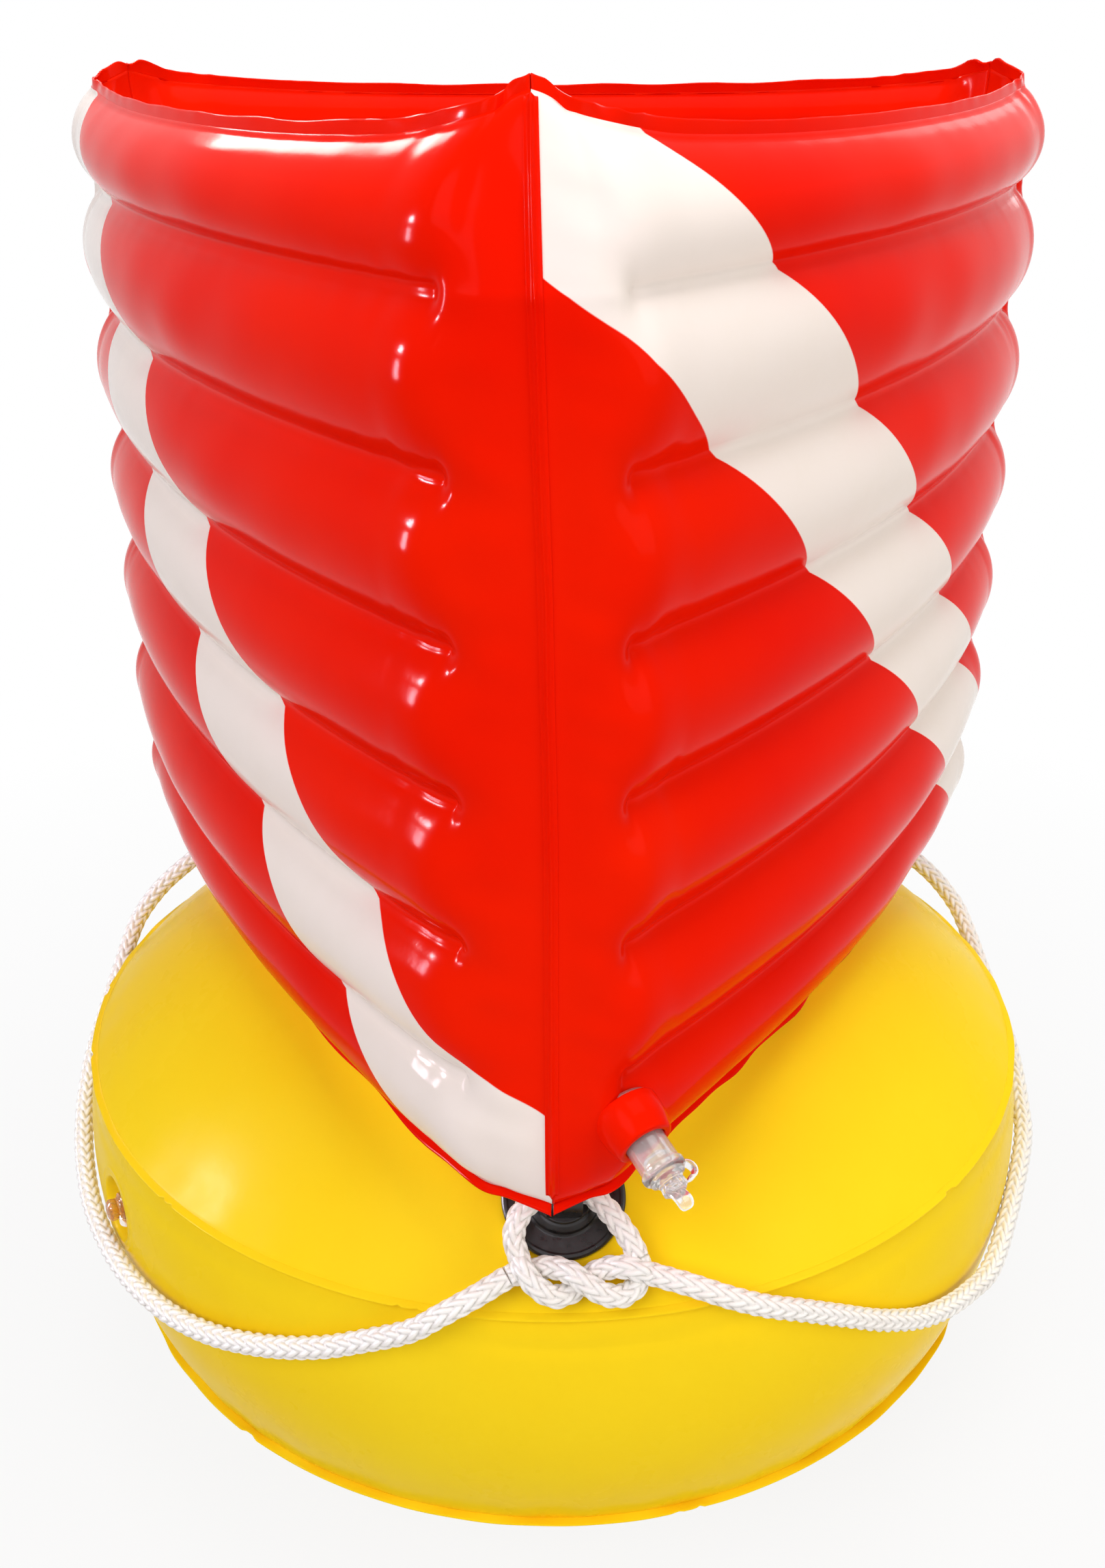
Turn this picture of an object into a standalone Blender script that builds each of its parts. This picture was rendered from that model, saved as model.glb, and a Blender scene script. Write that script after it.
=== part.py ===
"""Dive flag float: a three-sided inflatable flag standing on a domed inflatable drum.

Metres, +Z up. The origin is the middle of the flat patch that the drum rests on.
The flag's three corners point to the front (-Y), the back right and the back left.
"""
import math

import bmesh
import bpy
from mathutils import Matrix, Vector

# Film and fits
FILM = 0.0006
GAP = 0.0003
SEAM_CLEARANCE = 0.00055

# Drum
RING_RADIUS = 0.193
RING_HEIGHT = 0.150
DOME_RADIUS = 0.2624
LOW_RADIUS = 0.183
LOW_HEIGHT = 0.043
WALL_BULGE = 0.010
REST_RADIUS = 0.085
LIP_WIDTH = 0.004
LIP_THICKNESS = 0.0012
DRUM_STEPS = 48
DOME_SEGMENTS = 7
WALL_SEGMENTS = 6
BOTTOM_SEGMENTS = 5

# Flag
TUBE_PITCH = 0.0457
TUBE_COUNT = 7
WELD_DROP = 0.0046
FACE_RADIUS = 0.135
CORNER_RADIUS = 0.197
WELD_HALF_LENGTH = 0.155
FACE_BOW = 0.018
TUBE_SWELL = 0.009
INNER_SWELL = 0.009
CORNER_SWELL = 0.005
INNER_CORNER_SWELL = 0.019
CHANNEL_PUFF = 0.001
CHANNEL_END = 0.026
WELD_SEAT = 0.00098
TOP_SAG = 0.010
TOP_DROP = 0.005
CORNER_DROP = 0.005
FOOT_TUCK = 0.011
CORNER_TUCK = 0
TOP_TUCK = 0.014
RIM_LIP = 0.006
FLANGE_WIDTH = 0.003
FLANGE_THICKNESS = 0.0009
HALF_FACE = math.radians(60)
FACE_AZIMUTHS = {"front_left": 210, "front_right": 330, "back": 90}
CORNER_AZIMUTHS = {"front": -90, "back_right": 30, "back_left": 150}
WELD_END_SHARE = 0.80
WELD_ROUND_SHARE = 0.04
SEAM_SHARE = 0.965
OUTER_SHARES = (0, 0.30, 0.58, 0.74, 0.80, 0.86, 0.93, 1)
INNER_SHARES = (0, 0.50, 0.80, 0.90, 1)
OUTER_ROWS_PER_TUBE = 4
INNER_ROWS_PER_TUBE = 3
SEAM_ROWS = (0.25, 0.5, 0.75, 1, 2.25, 3.5, 4.75, 6, 6.25, 6.5, 6.75)
RIDGE_LIFT_SHARE = 1.5
LEAST_LEAN = 0.3
SLOPE_STEP_SHARE = 0.01

# Line holders
HOLDER_INSET = 0.0275
BASE_RADIUS = 0.021
BASE_EDGE = 0.0012
HUB_RADIUS = 0.0123
HUB_HEIGHT = 0.0034
BOSS_RADIUS = 0.0099
BOSS_HEIGHT = 0.0052
GROOVE = 0.0008
LUG_HALF_WIDTH = 0.008
LUG_THICKNESS = 0.012
EYE_RADIUS = 0.0052
EYE_FLOOR = 0.0022
HOLDER_STEPS = 24

# Valves
STEM_RADIUS = 0.0065
STEM_BORE = 0.0044
STEM_LENGTH = 0.0245
STEM_RING = 0.0072
STEM_RING_WIDTH = 0.0022
STEM_FLANGE = 0.0092
STEM_FLANGE_THICKNESS = 0.0012
COLLAR_WALL = 0.0035
COLLAR_HEIGHT = 0.008
COLLAR_DEPTH = 0.005
COLLAR_SHOULDER = 0.005
COLLAR_TAPER = 0.0012
FLAP_RADIUS = 0.0052
FLAP_THICKNESS = 0.0005
PLUG_CLEARANCE = 0.00035
PLUG_DEPTH = 0.007
PLUG_HEAD = 0.0058
PLUG_HEAD_THICKNESS = 0.0012
KNOB_RADIUS = 0.0042
KNOB_HEIGHT = 0.005
TAB_WIDTH = 0.006
TAB_THICKNESS = 0.0014
TAB_HEIGHT = 0.006
STRAP_OFFSET = 0.0018
STRAP_RADIUS = 0.0027
STRAP_THICKNESS = 0.0012
STRAP_WIDTH = 0.0036
STRAP_START = -90
STRAP_END = 110
STRAP_STEPS = 12
CUP_RADIUS = 0.0137
CUP_DEPTH = 0.0105
CUP_WALL = 0.0009
CUP_SHOULDER_SHARE = 0.75
VALVE_STEPS = 18
FLAG_VALVE_SHARE = -0.805
FLAG_VALVE_RISE = 0.68
FLAG_VALVE_DROOP = 0.42
FLOAT_VALVE_AZIMUTH = -147.6
FLOAT_VALVE_DROP = 0.033
FLOAT_VALVE_SINK = 0.028

# Rope
LINE_TURN = 2.6
DRAPE_AZIMUTHS = {"left": -150, "right": -30, "back": 90}
ROPE_RADIUS = 0.004
ROPE_SPACING = 0.021
ROPE_TURN = 15
CURVE_STEPS = 16
KNOT_HALF_SIZES = (0.0215, 0.007, 0.0058)
KNOT_PLACE = (0.0045, -0.027, 0.0066)
CUT_OVERRUN = 0.002
MERGE = 0.00001

# The three eyes and their line stand LINE_TURN degrees round from the flag's corners.
# Rope routes: azimuth in degrees, radius and height. RISE runs from the lowest point of a
# drape to an eye, by its azimuth from the drape's middle.
RISE = [
    (5, 0.2034, 0.1026), (13.5, 0.2034, 0.1058), (21.5, 0.2034, 0.1118), (29, 0.2031, 0.1202),
    (35.5, 0.2024, 0.1288), (41, 0.2021, 0.1385), (45.5, 0.2029, 0.1475), (48.3, 0.2018, 0.1552),
    (50.6, 0.1940, 0.1670), (53.0, 0.1838, 0.1772), (55.6, 0.1756, 0.1843), (57.7, 0.17384, 0.18586),
    (60, 0.17364, 0.18586),
]
LEFT_FRONT = [
    (-95.7, 0.1918, 0.1644), (-98.3, 0.1968, 0.1608), (-101.6, 0.2018, 0.1552), (-104.5, 0.2029, 0.1475),
    (-109, 0.2021, 0.1385), (-114.5, 0.2024, 0.1288), (-121, 0.2031, 0.1202), (-128.5, 0.2034, 0.1118),
    (-136.5, 0.2034, 0.1058), (-145, 0.2034, 0.1026),
]
RIGHT_FRONT = [
    (-81.6, 0.1926, 0.1644), (-78.5, 0.1970, 0.1624), (-74.6, 0.2018, 0.1576), (-71, 0.2031, 0.1512),
    (-67, 0.2027, 0.1438), (-62.5, 0.2023, 0.1345), (-56, 0.2031, 0.1208), (-49, 0.2035, 0.1085),
    (-41, 0.2036, 0.1000), (-33, 0.2036, 0.0970),
]
# The bight through the front eye, across, up the slope and above the skin of its holder
BIGHT = [
    (-0.0150, -0.0212, 0.0074), (-0.0166, -0.0165, 0.0086), (-0.0165, -0.0123, 0.0098),
    (-0.0146, -0.0076, 0.0113), (-0.0108, -0.0034, 0.0124), (-0.0057, -0.0004, 0.0129),
    (0.0, 0.0005, 0.0129), (0.0057, -0.0004, 0.0129), (0.0108, -0.0034, 0.0125),
    (0.0153, -0.0080, 0.0115), (0.0191, -0.0128, 0.0101), (0.0220, -0.0173, 0.0086),
    (0.0238, -0.0212, 0.0074),
]

RED = (0.86, 0.02, 0.01)
YELLOW = (0.98, 0.66, 0.01)
BLACK = (0.012, 0.010, 0.010)
CLEAR = (0.86, 0.84, 0.80)
WHITE = (0.88, 0.87, 0.84)


def clear_scene():
    for item in list(bpy.data.objects):
        bpy.data.objects.remove(item, do_unlink=True)


def new_collection(name):
    group = bpy.data.collections.new(name)
    bpy.context.scene.collection.children.link(group)
    return group


def make_material(name, colour, roughness):
    material = bpy.data.materials.new(name)
    material.use_nodes = True
    shader = material.node_tree.nodes["Principled BSDF"]
    shader.inputs["Base Color"].default_value = (*colour, 1)
    shader.inputs["Roughness"].default_value = roughness
    shader.inputs["Metallic"].default_value = 0
    material.diffuse_color = (*colour, 1)
    return material


def add_object(name, data, group, material, matrix=None):
    item = bpy.data.objects.new(name, data)
    group.objects.link(item)
    if material:
        data.materials.append(material)
    if matrix is not None:
        item.matrix_world = matrix
    return item


def add_cutter(name, mesh, group, matrix):
    item = add_object(name, mesh, group, None, matrix)
    item.hide_render = True
    item.display_type = "WIRE"
    return item


def solidify(item, thickness, offset=-1):
    shell = item.modifiers.new("thickness", "SOLIDIFY")
    shell.thickness = thickness
    shell.offset = offset
    shell.use_even_offset = True
    return item


def boolean(item, cutter, operation):
    cut = item.modifiers.new(operation.lower(), "BOOLEAN")
    cut.operation = operation
    cut.solver = "EXACT"
    cut.object = cutter


def smooth(item, angle=40):
    item.data.shade_smooth()
    item.data.set_sharp_from_angle(angle=math.radians(angle))


# Turned pieces: a profile of radius and height pairs, run down the outer side
def turned(name, profile, group, material, steps, closed=False, matrix=None):
    mesh = bpy.data.meshes.new(name)
    points = [(radius, 0, height) for radius, height in profile]
    edges = [(index, index + 1) for index in range(len(points) - 1)]
    if closed:
        edges.append((len(points) - 1, 0))
    mesh.from_pydata(points, edges, [])
    item = add_object(name, mesh, group, material, matrix)
    screw = item.modifiers.new("turn", "SCREW")
    screw.axis = "Z"
    screw.angle = math.tau
    screw.steps = steps
    screw.render_steps = steps
    screw.use_merge_vertices = True
    screw.merge_threshold = MERGE
    screw.use_smooth_shade = True
    return item


# A flat outline with holes, extruded to its full thickness
def plate(name, outlines, thickness, group, material, matrix):
    curve = bpy.data.curves.new(name, "CURVE")
    curve.dimensions = "2D"
    curve.fill_mode = "BOTH"
    curve.extrude = thickness / 2
    for outline in outlines:
        spline = curve.splines.new("POLY")
        spline.points.add(len(outline) - 1)
        for point, (across, along) in zip(spline.points, outline):
            point.co = (across, along, 0, 1)
        spline.use_cyclic_u = True
    return add_object(name, curve, group, material, matrix)


def arc(centre, radius, start, end, count):
    """Points on an arc, by angles in degrees."""
    points = []
    for index in range(count + 1):
        angle = math.radians(start + (end - start) * index / count)
        points.append((centre[0] + radius * math.cos(angle), centre[1] + radius * math.sin(angle)))
    return points


def frame_matrix(origin, outward, across):
    """A frame at a point, its Z outward and its X across."""
    z_axis = outward.normalized()
    y_axis = z_axis.cross(across).normalized()
    x_axis = y_axis.cross(z_axis)
    rotation = Matrix((x_axis, y_axis, z_axis)).transposed().to_4x4()
    return Matrix.Translation(origin) @ rotation


# Drum shapes
def dome_height(radius):
    centre = RING_HEIGHT - math.sqrt(DOME_RADIUS ** 2 - RING_RADIUS ** 2)
    return centre + math.sqrt(DOME_RADIUS ** 2 - radius ** 2)


def dome_slope(radius):
    return math.asin(radius / DOME_RADIUS)


def wall_radius(height):
    share = (RING_HEIGHT - height) / (RING_HEIGHT - LOW_HEIGHT)
    chord = RING_RADIUS + (LOW_RADIUS - RING_RADIUS) * share
    return chord + WALL_BULGE * 4 * share * (1 - share)


def make_drum(group, material):
    slope = dome_slope(RING_RADIUS)
    top = []
    for index in range(DOME_SEGMENTS + 1):
        radius = DOME_RADIUS * math.sin(slope * index / DOME_SEGMENTS)
        top.append((radius, dome_height(radius)))
    solidify(turned("float_top_panel", top, group, material, DRUM_STEPS), FILM)

    upper = RING_HEIGHT - FILM - GAP
    lower = LOW_HEIGHT + FILM + GAP
    wall = []
    for index in range(WALL_SEGMENTS + 1):
        height = upper + (lower - upper) * index / WALL_SEGMENTS
        wall.append((wall_radius(height), height))
    side = solidify(turned("float_side_wall", wall, group, material, DRUM_STEPS), FILM)

    reach = LOW_RADIUS - REST_RADIUS
    curve = (reach ** 2 + LOW_HEIGHT ** 2) / (2 * LOW_HEIGHT)
    sweep = math.asin(reach / curve)
    bottom = []
    for index in range(BOTTOM_SEGMENTS + 1):
        angle = sweep * (1 - index / BOTTOM_SEGMENTS)
        bottom.append((REST_RADIUS + curve * math.sin(angle), curve - curve * math.cos(angle)))
    bottom.append((0, 0))
    solidify(turned("float_bottom_panel", bottom, group, material, DRUM_STEPS), FILM)

    # The welded margins of the panels stand out as two thin rings
    for name, radius, height in (
        ("float_top_weld_ring", RING_RADIUS, RING_HEIGHT - (FILM + GAP) / 2),
        ("float_bottom_weld_ring", LOW_RADIUS, LOW_HEIGHT + (FILM + GAP) / 2),
    ):
        inner = radius + FILM + GAP
        outer = inner + LIP_WIDTH
        half = LIP_THICKNESS / 2
        ring = [(outer, height + half), (outer, height - half), (inner, height - half), (inner, height + half)]
        turned(name, ring, group, material, DRUM_STEPS, closed=True)
    return side


# Flag shapes, in a face's own frame: X outward from the axis, Y along the face, Z up
def flag_base():
    foot = FACE_RADIUS - FOOT_TUCK
    return dome_height(foot) + 2 * GAP + FLANGE_THICKNESS / math.cos(dome_slope(foot))


def weld_line(share, rise=TUBE_COUNT):
    """The flag's wall at a share of the way from the middle to a corner, and a rise in tubes.

    Gives the place and the outward direction, each as outward and along. The lowest tube
    draws in to its foot on the drum, and the uppermost one to the rim.
    """
    side = math.copysign(1, share)
    reach = abs(share)
    end_slope = 2 * FACE_BOW / WELD_HALF_LENGTH
    if reach <= WELD_END_SHARE:
        run = reach / WELD_END_SHARE
        place = Vector((FACE_RADIUS - FACE_BOW * run ** 2, WELD_HALF_LENGTH * run))
        direction = Vector((1, end_slope * run))
    else:
        run = (reach - WELD_END_SHARE) / (1 - WELD_END_SHARE)
        end = Vector((FACE_RADIUS - FACE_BOW, WELD_HALF_LENGTH))
        tip = CORNER_RADIUS * Vector((math.cos(HALF_FACE), math.sin(HALF_FACE)))
        place = end.lerp(tip, run)
        direction = Vector((1, end_slope)).normalized().lerp(tip.normalized(), run)
    direction.normalize()
    foot_tuck = FOOT_TUCK + (CORNER_TUCK - FOOT_TUCK) * reach ** 3
    top_tuck = TOP_TUCK * min(1, reach / WELD_END_SHARE) ** 2
    tuck = foot_tuck * max(0, 1 - rise) + top_tuck * max(0, rise - TUBE_COUNT + 1)
    place = place - direction * tuck
    return Vector((place.x, side * place.y)), Vector((direction.x, side * direction.y))


def weld_base():
    """The height that the even spacing of the welds starts from, a little under the flag's foot."""
    return flag_base() - WELD_DROP


def edge_heights(share):
    """The flag's lower and upper weld at a share across a face."""
    bend = abs(share) ** 3
    low = flag_base() - CORNER_DROP * bend
    high = weld_base() + TUBE_PITCH * TUBE_COUNT - TOP_DROP - TOP_SAG * (1 - bend)
    return low, high


def rise_height(share, rise):
    low, high = edge_heights(share)
    first = weld_base() + TUBE_PITCH
    last = weld_base() + TUBE_PITCH * (TUBE_COUNT - 1)
    if rise < 1:
        return low + (first - low) * rise
    if rise > TUBE_COUNT - 1:
        return last + (high - last) * (rise - TUBE_COUNT + 1)
    return weld_base() + TUBE_PITCH * rise


def tube_share(rise):
    """A tube's section: a round arc from weld to weld, 1 at its crest."""
    half_angle = 2 * math.atan(2 * TUBE_SWELL / TUBE_PITCH)
    across = rise - math.floor(rise)
    if rise >= TUBE_COUNT:
        across = 1
    return (math.cos(half_angle * (2 * across - 1)) - math.cos(half_angle)) / (1 - math.cos(half_angle))


def channel_share(share, rise):
    """The corner channel: full along its length, closing in a quarter round at both ends."""
    low, high = edge_heights(share)
    height = rise_height(share, rise)
    depth = min(1, max(0, min(height - low, high - height)) / CHANNEL_END)
    return math.sqrt(1 - (1 - depth) ** 2)


def away_from_plane(share):
    """The direction from the plane between two faces back into a face."""
    return Vector((math.sin(HALF_FACE), -math.cos(HALF_FACE) * math.copysign(1, share)))


def panel_point(share, rise, side=1):
    """The outermost (side 1) or innermost (side -1) surface of a face."""
    place, direction = weld_line(share, rise)
    run = max(0, (abs(share) - WELD_END_SHARE) / (1 - WELD_END_SHARE))
    start, end, puff = (TUBE_SWELL, CORNER_SWELL, CHANNEL_PUFF)
    if side < 0:
        start, end, puff = (INNER_SWELL, INNER_CORNER_SWELL, 0)
    swell = start + (end - start) * run + puff * 4 * run * (1 - run)
    blend = (abs(share) - WELD_END_SHARE + WELD_ROUND_SHARE) / (2 * WELD_ROUND_SHARE)
    blend = min(1, max(0, blend))
    form = tube_share(rise) * (1 - blend) + channel_share(share, rise) * blend
    offset = side * (WELD_SEAT + swell * form)
    spot = place + direction * offset
    if abs(share) > 1 - SLOPE_STEP_SHARE:
        # Neighbouring faces stop short of the plane between them
        spot += away_from_plane(share) * SEAM_CLEARANCE
    return Vector((spot.x, spot.y, rise_height(share, rise)))


def panel_normal(share, rise):
    step = SLOPE_STEP_SHARE
    along = panel_point(share + step, rise) - panel_point(share - step, rise)
    upward = panel_point(share, rise + step) - panel_point(share, rise - step)
    return along.cross(upward).normalized()


def mirrored_shares(shares):
    return [-share for share in reversed(shares[1:])] + list(shares)


def grid_object(name, columns, rows, place, group, material, matrix=None, flip=False):
    """A grid whose points are placed by a function of a column's and a row's value."""
    form = bmesh.new()
    bmesh.ops.create_grid(form, x_segments=len(columns) - 1, y_segments=len(rows) - 1, size=1)
    for point in form.verts:
        column = columns[round((point.co.x + 1) / 2 * (len(columns) - 1))]
        row = rows[round((point.co.y + 1) / 2 * (len(rows) - 1))]
        point.co = place(column, row)
    if flip:
        bmesh.ops.reverse_faces(form, faces=form.faces)
    mesh = bpy.data.meshes.new(name)
    form.to_mesh(mesh)
    form.free()
    return add_object(name, mesh, group, material, matrix)


def turn_about_axis(azimuth):
    return Matrix.Rotation(math.radians(azimuth), 4, "Z")


def make_flag(group, material):
    outer_columns = mirrored_shares(OUTER_SHARES)
    inner_columns = mirrored_shares(INNER_SHARES)
    outer_rows = [row / OUTER_ROWS_PER_TUBE for row in range(TUBE_COUNT * OUTER_ROWS_PER_TUBE + 1)]
    inner_rows = [row / INNER_ROWS_PER_TUBE for row in range(TUBE_COUNT * INNER_ROWS_PER_TUBE + 1)]
    slope = math.tan(dome_slope(FACE_RADIUS - FOOT_TUCK))

    def rim_point(share, lift):
        place, _ = weld_line(share)
        if abs(share) == 1:
            place = place + away_from_plane(share) * (SEAM_CLEARANCE + LIP_THICKNESS / 4)
        return Vector((place.x, place.y, edge_heights(share)[1] + GAP + RIM_LIP * lift))

    def flange_point(share, tuck):
        place, direction = weld_line(share, 0)
        offset = FLANGE_WIDTH * (1 - tuck)
        spot = place + direction * offset
        if abs(share) == 1:
            spot += away_from_plane(share) * SEAM_CLEARANCE
        return Vector((spot.x, spot.y, edge_heights(share)[0] - GAP - offset * slope))

    panels = {}
    for place, azimuth in FACE_AZIMUTHS.items():
        matrix = turn_about_axis(azimuth)
        outer = grid_object(
            "flag_outer_panel_" + place, outer_columns, outer_rows, panel_point, group, material, matrix)
        panels[place] = solidify(outer, FILM)
        inner = grid_object(
            "flag_inner_panel_" + place, inner_columns, inner_rows,
            lambda share, rise: panel_point(share, rise, -1), group, material, matrix, flip=True)
        solidify(inner, FILM)
        rim = grid_object("flag_rim_lip_" + place, outer_columns, (0, 1), rim_point, group, material, matrix)
        solidify(rim, LIP_THICKNESS, 0)
        flange = grid_object(
            "flag_bottom_flange_" + place, outer_columns, (0, 1), flange_point, group, material, matrix)
        solidify(flange, FLANGE_THICKNESS)
    return panels


def ridge_point(rise):
    """The plane of a corner's two faces, as radius and height."""
    place, _ = weld_line(1, rise)
    radius = place.length + WELD_SEAT + CORNER_SWELL * channel_share(1, rise)
    return Vector((radius, 0, rise_height(1, rise)))


def make_corner_seams(group, material):
    """A narrow lapped strip over each corner of the flag."""
    lift = GAP + FILM

    def seam_point(side, rise):
        if side == 0:
            along = ridge_point(rise + SLOPE_STEP_SHARE) - ridge_point(rise - SLOPE_STEP_SHARE)
            outward = Vector((along.z, 0, -along.x)).normalized()
            _, direction = weld_line(1, rise)
            wall = (panel_point(1, rise) - panel_point(WELD_END_SHARE, rise)).xy
            lean = abs(wall.normalized().dot(Vector((direction.y, -direction.x))))
            return ridge_point(rise) + outward * lift * RIDGE_LIFT_SHARE / max(lean, LEAST_LEAN)
        share = -side * SEAM_SHARE
        turn = Matrix.Rotation(HALF_FACE * side, 3, "Z")
        return turn @ (panel_point(share, rise) + panel_normal(share, rise) * lift)

    for place, azimuth in CORNER_AZIMUTHS.items():
        seam = grid_object(
            "flag_corner_seam_" + place, (-1, 0, 1), SEAM_ROWS, seam_point, group, material,
            turn_about_axis(azimuth))
        solidify(seam, FILM)


# Line holders under the flag's corners, in a frame whose Z leaves the skin and Y runs up its slope
def holder_matrix(azimuth):
    radius = RING_RADIUS - HOLDER_INSET
    slope = dome_slope(radius)
    upright = Matrix.Rotation(math.radians(azimuth), 3, "Z")
    radial = upright @ Vector((1, 0, 0))
    outward = radial * math.sin(slope) + Vector((0, 0, math.cos(slope)))
    origin = radial * radius + Vector((0, 0, dome_height(radius)))
    return frame_matrix(origin, outward, upright @ Vector((0, 1, 0)))


def eye_height():
    return BOSS_HEIGHT + GAP + EYE_FLOOR + EYE_RADIUS


def make_holders(group, material):
    profile = [
        (0, BOSS_HEIGHT), (BOSS_RADIUS - GROOVE / 2, BOSS_HEIGHT), (BOSS_RADIUS, BOSS_HEIGHT - GROOVE),
        (BOSS_RADIUS + GROOVE, BOSS_HEIGHT - GROOVE), (HUB_RADIUS - GROOVE, HUB_HEIGHT),
        (HUB_RADIUS, HUB_HEIGHT - GROOVE / 2), (HUB_RADIUS + GROOVE / 2, BASE_EDGE + GROOVE),
        (BASE_RADIUS - GROOVE, BASE_EDGE), (BASE_RADIUS, BASE_EDGE - GROOVE / 2), (BASE_RADIUS, GAP), (0, GAP),
    ]
    centre = eye_height()
    foot = BOSS_HEIGHT + GAP
    outline = [(LUG_HALF_WIDTH, foot)]
    outline += arc((0, centre), LUG_HALF_WIDTH, 0, 180, 12)
    outline += [(-LUG_HALF_WIDTH, foot)]
    eye = arc((0, centre), EYE_RADIUS, 0, 360, 16)[:-1]
    # The plate's own X and Y are the holder's Y and Z
    stand = Matrix(((0, 0, 1, 0), (1, 0, 0, 0), (0, 1, 0, 0), (0, 0, 0, 1)))
    for place, azimuth in CORNER_AZIMUTHS.items():
        matrix = holder_matrix(azimuth + LINE_TURN)
        turned("holder_base_" + place, profile, group, material, HOLDER_STEPS, matrix=matrix)
        plate("holder_eye_" + place, (outline, eye), LUG_THICKNESS, group, material, matrix @ stand)


# Valve pieces, in a frame whose Z leaves the skin
def stem_profile():
    ring_low = STEM_LENGTH - STEM_RING_WIDTH
    chamfer = STEM_RING - STEM_RADIUS
    low = -STEM_FLANGE_THICKNESS
    return [
        (STEM_RING - chamfer / 2, STEM_LENGTH), (STEM_RING, STEM_LENGTH - chamfer),
        (STEM_RING, ring_low), (STEM_RADIUS, ring_low - chamfer), (STEM_RADIUS, 0),
        (STEM_FLANGE, 0), (STEM_FLANGE, low), (STEM_BORE, low), (STEM_BORE, STEM_LENGTH),
    ]


def plug_profile():
    seat = STEM_LENGTH + GAP
    nose = STEM_BORE - PLUG_CLEARANCE
    head_top = seat + PLUG_HEAD_THICKNESS
    knob_top = head_top + KNOB_HEIGHT
    soften = KNOB_RADIUS / 4
    return [
        (0, knob_top), (KNOB_RADIUS - soften, knob_top), (KNOB_RADIUS, knob_top - soften),
        (KNOB_RADIUS, head_top + soften / 2), (PLUG_HEAD, head_top), (PLUG_HEAD, seat), (nose, seat),
        (nose, seat - PLUG_DEPTH + soften), (nose - soften, seat - PLUG_DEPTH), (0, seat - PLUG_DEPTH),
    ]


def make_valve(prefix, matrix, groups, material, with_tab):
    """Stem, non-return flap, plug and strap. The frame's origin is under the stem's flange."""
    group, cutters = groups
    turned(prefix + "_stem", stem_profile(), group, material, VALVE_STEPS, closed=True, matrix=matrix)

    flap_top = -STEM_FLANGE_THICKNESS - GAP
    hinge = bpy.data.objects.new(prefix + "_flap_hinge", None)
    group.objects.link(hinge)
    hinge.matrix_world = matrix @ Matrix.Translation((FLAP_RADIUS, 0, flap_top))
    disc = [(0, 0), (FLAP_RADIUS, 0), (FLAP_RADIUS, -FLAP_THICKNESS), (0, -FLAP_THICKNESS)]
    flap = turned(prefix + "_flap", disc, group, material, VALVE_STEPS)
    flap.parent = hinge
    flap.location = (-FLAP_RADIUS, 0, 0)

    plug = turned(prefix + "_plug", plug_profile(), group, material, VALVE_STEPS, matrix=matrix)
    seat = STEM_LENGTH + GAP
    head_top = seat + PLUG_HEAD_THICKNESS
    if with_tab:
        knob_top = head_top + KNOB_HEIGHT
        form = bmesh.new()
        bmesh.ops.create_cube(form, size=1)
        height = TAB_HEIGHT + KNOB_HEIGHT / 2
        bmesh.ops.scale(form, vec=(TAB_WIDTH, TAB_THICKNESS, height), verts=form.verts)
        bmesh.ops.translate(form, vec=(0, 0, knob_top + TAB_HEIGHT - height / 2), verts=form.verts)
        mesh = bpy.data.meshes.new(prefix + "_tab_form")
        form.to_mesh(mesh)
        form.free()
        tab = add_cutter(prefix + "_tab_form", mesh, cutters, matrix)
        boolean(plug, tab, "UNION")

    centre = (PLUG_HEAD + STRAP_OFFSET, head_top - STRAP_THICKNESS / 2)
    inner = STRAP_RADIUS - STRAP_THICKNESS / 2
    outer = STRAP_RADIUS + STRAP_THICKNESS / 2
    band = arc(centre, outer, STRAP_START, STRAP_END, STRAP_STEPS)
    band += arc(centre, inner, STRAP_END, STRAP_START, STRAP_STEPS)
    stand = Matrix(((1, 0, 0, 0), (0, 0, -1, 0), (0, 1, 0, 0), (0, 0, 0, 1)))
    plate(prefix + "_strap", (band,), STRAP_WIDTH, group, material, matrix @ stand)


def drill(item, name, radius, matrix, cutters):
    form = bmesh.new()
    bmesh.ops.create_cone(
        form, cap_ends=True, segments=VALVE_STEPS, radius1=radius, radius2=radius,
        depth=2 * COLLAR_HEIGHT)
    mesh = bpy.data.meshes.new(name)
    form.to_mesh(mesh)
    form.free()
    boolean(item, add_cutter(name, mesh, cutters, matrix), "DIFFERENCE")


def flag_valve_matrix():
    turn = turn_about_axis(FACE_AZIMUTHS["front_right"]).to_3x3()
    origin = turn @ panel_point(FLAG_VALVE_SHARE, FLAG_VALVE_RISE)
    outward = turn @ panel_normal(FLAG_VALVE_SHARE, FLAG_VALVE_RISE) - Vector((0, 0, FLAG_VALVE_DROOP))
    return frame_matrix(origin, outward, turn @ Vector((0, 1, 0)))


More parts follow.
